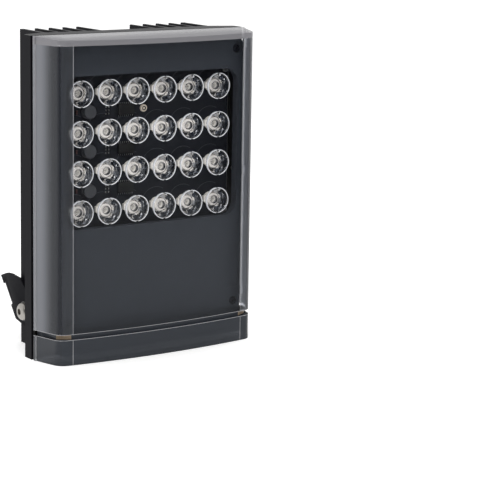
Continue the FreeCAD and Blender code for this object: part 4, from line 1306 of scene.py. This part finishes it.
@dataclass
class CableGland:
    """Grip ribs on the gland's domed nut."""

    shop: Workshop
    ribs: int = 18
    rib_radius: float = 0.0007
    rib_sunk: float = 0.2
    band_middle: float = 0.3
    band_length: float = 0.52

    def build(self) -> None:
        """Stand the ribs round the straight part of the nut."""
        low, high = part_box("gland_nut")
        radius = (high.x - low.x) / 2
        middle = ((low.x + high.x) / 2, low.y + (high.y - low.y) * self.band_middle, (low.z + high.z) / 2)
        values = {
            "Count": self.ribs,
            "Radius": radius - self.rib_radius * self.rib_sunk,
            "Rib": self.rib_radius,
            "Length": (high.y - low.y) * self.band_length,
            "Finish": NYLON.material(),
        }
        self.shop.ribs.bake("gland_nut_ribs", [middle], values, "lamp", "gland_black")


@dataclass
class Yoke:
    """The folded yoke."""

    node: str = "yoke"

    def build(self) -> None:
        """Show the yoke with smooth bends."""
        made = eased_copy(self.node, "yoke_sheet", YOKE_COAT, 0.0004)
        LOG.info("%s: %d faces", made.name, len(made.data.polygons))


@dataclass(frozen=True)
class Lamp:
    """One soft square lamp."""

    name: str
    place: Point
    aim: Point
    size: float
    power: float
    mirrored: bool = True


@dataclass
class Studio:
    """Floor, soft light and the camera at the photograph's angle."""

    place: Point = (-0.799142, -1.314107, 0.387918)
    yaw: float = 0.6077
    pitch: float = -0.1739
    roll: float = 0.0166
    focal: float = 139.9278
    shift: float = -0.1
    floor_half: float = 12.0
    dark_level: float = 0.02
    room_level: float = 0.9
    floor_glow: float = 0.35
    near_level: float = 0.36
    near_start: float = 0.35
    near_end: float = 1.1
    dark_from: float = -0.05
    dark_to: float = -0.55
    lamps: tuple[Lamp, ...] = (
        Lamp("key_lamp", (-0.5, -0.9, 1.5), (0.0, 0.0, 0.12), 0.8, 7.0),
        Lamp("side_lamp", (-0.78, 0.36, 0.36), (-0.09, -0.03, 0.12), 0.7, 2.0, False),
        Lamp("rim_lamp", (1.1, 0.4, 0.9), (0.0, 0.0, 0.12), 0.6, 2.5),
    )

    def camera(self) -> None:
        """Put the camera where the photograph was taken from."""
        forward = Vector((
            math.sin(self.yaw) * math.cos(self.pitch),
            math.cos(self.yaw) * math.cos(self.pitch),
            math.sin(self.pitch),
        ))
        level = Vector((math.cos(self.yaw), -math.sin(self.yaw), 0.0))
        upright = level.cross(forward)
        right = math.cos(self.roll) * level + math.sin(self.roll) * upright
        up = -math.sin(self.roll) * level + math.cos(self.roll) * upright
        data = bpy.data.cameras.new("photo_camera")
        data.sensor_width = 36.0
        data.lens = self.focal
        data.shift_y = self.shift
        data.clip_start = 0.05
        data.clip_end = 60.0
        made = bpy.data.objects.new("photo_camera", data)
        bpy.context.scene.collection.objects.link(made)
        turn = Matrix((right, up, -forward)).transposed()
        made.matrix_world = Matrix.Translation(self.place) @ turn.to_4x4()
        bpy.context.scene.camera = made

    def hang(self, lamp: Lamp) -> None:
        """Hang one lamp, which the camera doesn't see.

        Args:
            lamp: The lamp.
        """
        data = bpy.data.lights.new(lamp.name, "AREA")
        data.shape = "SQUARE"
        data.size = lamp.size
        data.energy = lamp.power
        made = bpy.data.objects.new(lamp.name, data)
        made.location = lamp.place
        made.rotation_euler = (Vector(lamp.aim) - Vector(lamp.place)).to_track_quat("-Z", "Y").to_euler()
        made.visible_camera = False
        made.visible_glossy = lamp.mirrored
        bpy.context.scene.collection.objects.link(made)

    def backdrop_mask(self, tree: bpy.types.NodeTree, source: str) -> bpy.types.NodeSocket:
        """White behind and beside the lamp, fading to dark in front of it.

        Args:
            tree: The node tree that needs the mask.
            source: The coordinate output that holds the place or the direction.

        Returns:
            The socket with the mask's value.
        """
        nodes, links = tree.nodes, tree.links
        place = nodes.new("ShaderNodeTexCoord")
        flat = nodes.new("ShaderNodeVectorMath")
        flat.operation = "MULTIPLY"
        flat.inputs[1].default_value = (1.0, 1.0, 0.0)
        unit = nodes.new("ShaderNodeVectorMath")
        unit.operation = "NORMALIZE"
        split = nodes.new("ShaderNodeSeparateXYZ")
        fade = nodes.new("ShaderNodeMapRange")
        fade.interpolation_type = "SMOOTHSTEP"
        fade.inputs["From Min"].default_value = self.dark_to
        fade.inputs["From Max"].default_value = self.dark_from
        fade.inputs["To Min"].default_value = self.dark_level
        fade.inputs["To Max"].default_value = 1.0
        links.new(place.outputs[source], flat.inputs[0])
        links.new(flat.outputs["Vector"], unit.inputs[0])
        links.new(unit.outputs["Vector"], split.inputs["Vector"])
        links.new(split.outputs["Y"], fade.inputs["Value"])
        return fade.outputs["Result"]

    def mirrored(self, tree: bpy.types.NodeTree) -> bpy.types.NodeSocket:
        """One where a mirror or a clear piece looks at the surface.

        Args:
            tree: The node tree that needs the value.

        Returns:
            The socket with the value.
        """
        path = tree.nodes.new("ShaderNodeLightPath")
        return combined(tree, "MAXIMUM", path.outputs["Is Glossy Ray"], path.outputs["Is Transmission Ray"])

    def floor(self) -> None:
        """Lay a pale floor that keeps the shadow and is mirrored as a white table before a dark room."""
        half = self.floor_half
        mesh = bpy.data.meshes.new("floor")
        corners = [(x * half, y * half, -0.0001) for x, y in ((-1, -1), (1, -1), (1, 1), (-1, 1))]
        mesh.from_pydata(corners, [], [(0, 1, 2, 3)])
        finish = Finish("pale_floor", (0.88, 0.88, 0.88), 0.9, specular=0.0)
        made = link("floor", mesh, finish)
        tree = finish.material().node_tree
        shader = tree.nodes["Principled BSDF"]
        shader.inputs["Emission Color"].default_value = (1.0, 1.0, 1.0, 1.0)
        path = tree.nodes.new("ShaderNodeLightPath")
        lift = combined(tree, "MULTIPLY", path.outputs["Is Camera Ray"], self.floor_glow)
        tree.links.new(lift, shader.inputs["Emission Strength"])
        glow = tree.nodes.new("ShaderNodeEmission")
        mix = tree.nodes.new("ShaderNodeMixShader")
        place = tree.nodes.new("ShaderNodeTexCoord")
        reach = tree.nodes.new("ShaderNodeVectorMath")
        reach.operation = "LENGTH"
        near = tree.nodes.new("ShaderNodeMapRange")
        near.interpolation_type = "SMOOTHSTEP"
        near.inputs["From Min"].default_value = self.near_start
        near.inputs["From Max"].default_value = self.near_end
        near.inputs["To Min"].default_value = self.near_level
        near.inputs["To Max"].default_value = 0.0
        tree.links.new(place.outputs["Object"], reach.inputs[0])
        tree.links.new(reach.outputs["Value"], near.inputs["Value"])
        brighter = combined(tree, "MAXIMUM", near.outputs["Result"], self.backdrop_mask(tree, "Object"))
        tree.links.new(brighter, glow.inputs["Strength"])
        tree.links.new(self.mirrored(tree), mix.inputs["Fac"])
        tree.links.new(shader.outputs["BSDF"], mix.inputs[1])
        tree.links.new(glow.outputs["Emission"], mix.inputs[2])
        tree.links.new(mix.outputs["Shader"], tree.nodes["Material Output"].inputs["Surface"])

    def world(self) -> None:
        """Fill the room with even light, white to the camera and dark before the lamp in mirrors."""
        world = bpy.data.worlds.new("white_room")
        world.use_nodes = True
        tree = world.node_tree
        even = tree.nodes["Background"]
        even.inputs["Color"].default_value = (1.0, 1.0, 1.0, 1.0)
        even.inputs["Strength"].default_value = self.room_level
        white = tree.nodes.new("ShaderNodeBackground")
        seen = tree.nodes.new("ShaderNodeBackground")
        path = tree.nodes.new("ShaderNodeLightPath")
        first, second = tree.nodes.new("ShaderNodeMixShader"), tree.nodes.new("ShaderNodeMixShader")
        tree.links.new(self.backdrop_mask(tree, "Generated"), seen.inputs["Strength"])
        tree.links.new(self.mirrored(tree), first.inputs["Fac"])
        tree.links.new(even.outputs["Background"], first.inputs[1])
        tree.links.new(seen.outputs["Background"], first.inputs[2])
        tree.links.new(path.outputs["Is Camera Ray"], second.inputs["Fac"])
        tree.links.new(first.outputs["Shader"], second.inputs[1])
        tree.links.new(white.outputs["Background"], second.inputs[2])
        tree.links.new(second.outputs["Shader"], tree.nodes["World Output"].inputs["Surface"])
        bpy.context.scene.world = world

    def build(self) -> None:
        """Set up the whole studio."""
        self.camera()
        self.floor()
        self.world()
        for lamp in self.lamps:
            self.hang(lamp)
        bpy.context.scene.view_settings.view_transform = "Standard"


def dress_nodes() -> None:
    """Give every CAD node the finish of its material slot."""
    for part in frame["record"]["subparts"]:
        node = frame["nodes"][part["node"]]
        node.data.materials.clear()
        finish = NODE_FINISHES.get(part["node"], SLOT_FINISHES[part["material_slot"]])
        node.data.materials.append(finish.material())
        LOG.info("dressed %s as %s", part["node"], part["material_slot"])


def main() -> None:
    """Build every sub-assembly in order."""
    logging.basicConfig(level=logging.INFO, format="%(message)s")
    shop = Workshop()
    array = EmitterArray(shop)
    dress_nodes()
    ClearCover().build()
    array.build()
    EmitterBoard(shop).build(array.fronts())
    Fasteners(shop).build()
    Pivots().build()
    CableGland(shop).build()
    Yoke().build()
    Studio().build()


if __name__ == "__main__":
    main()
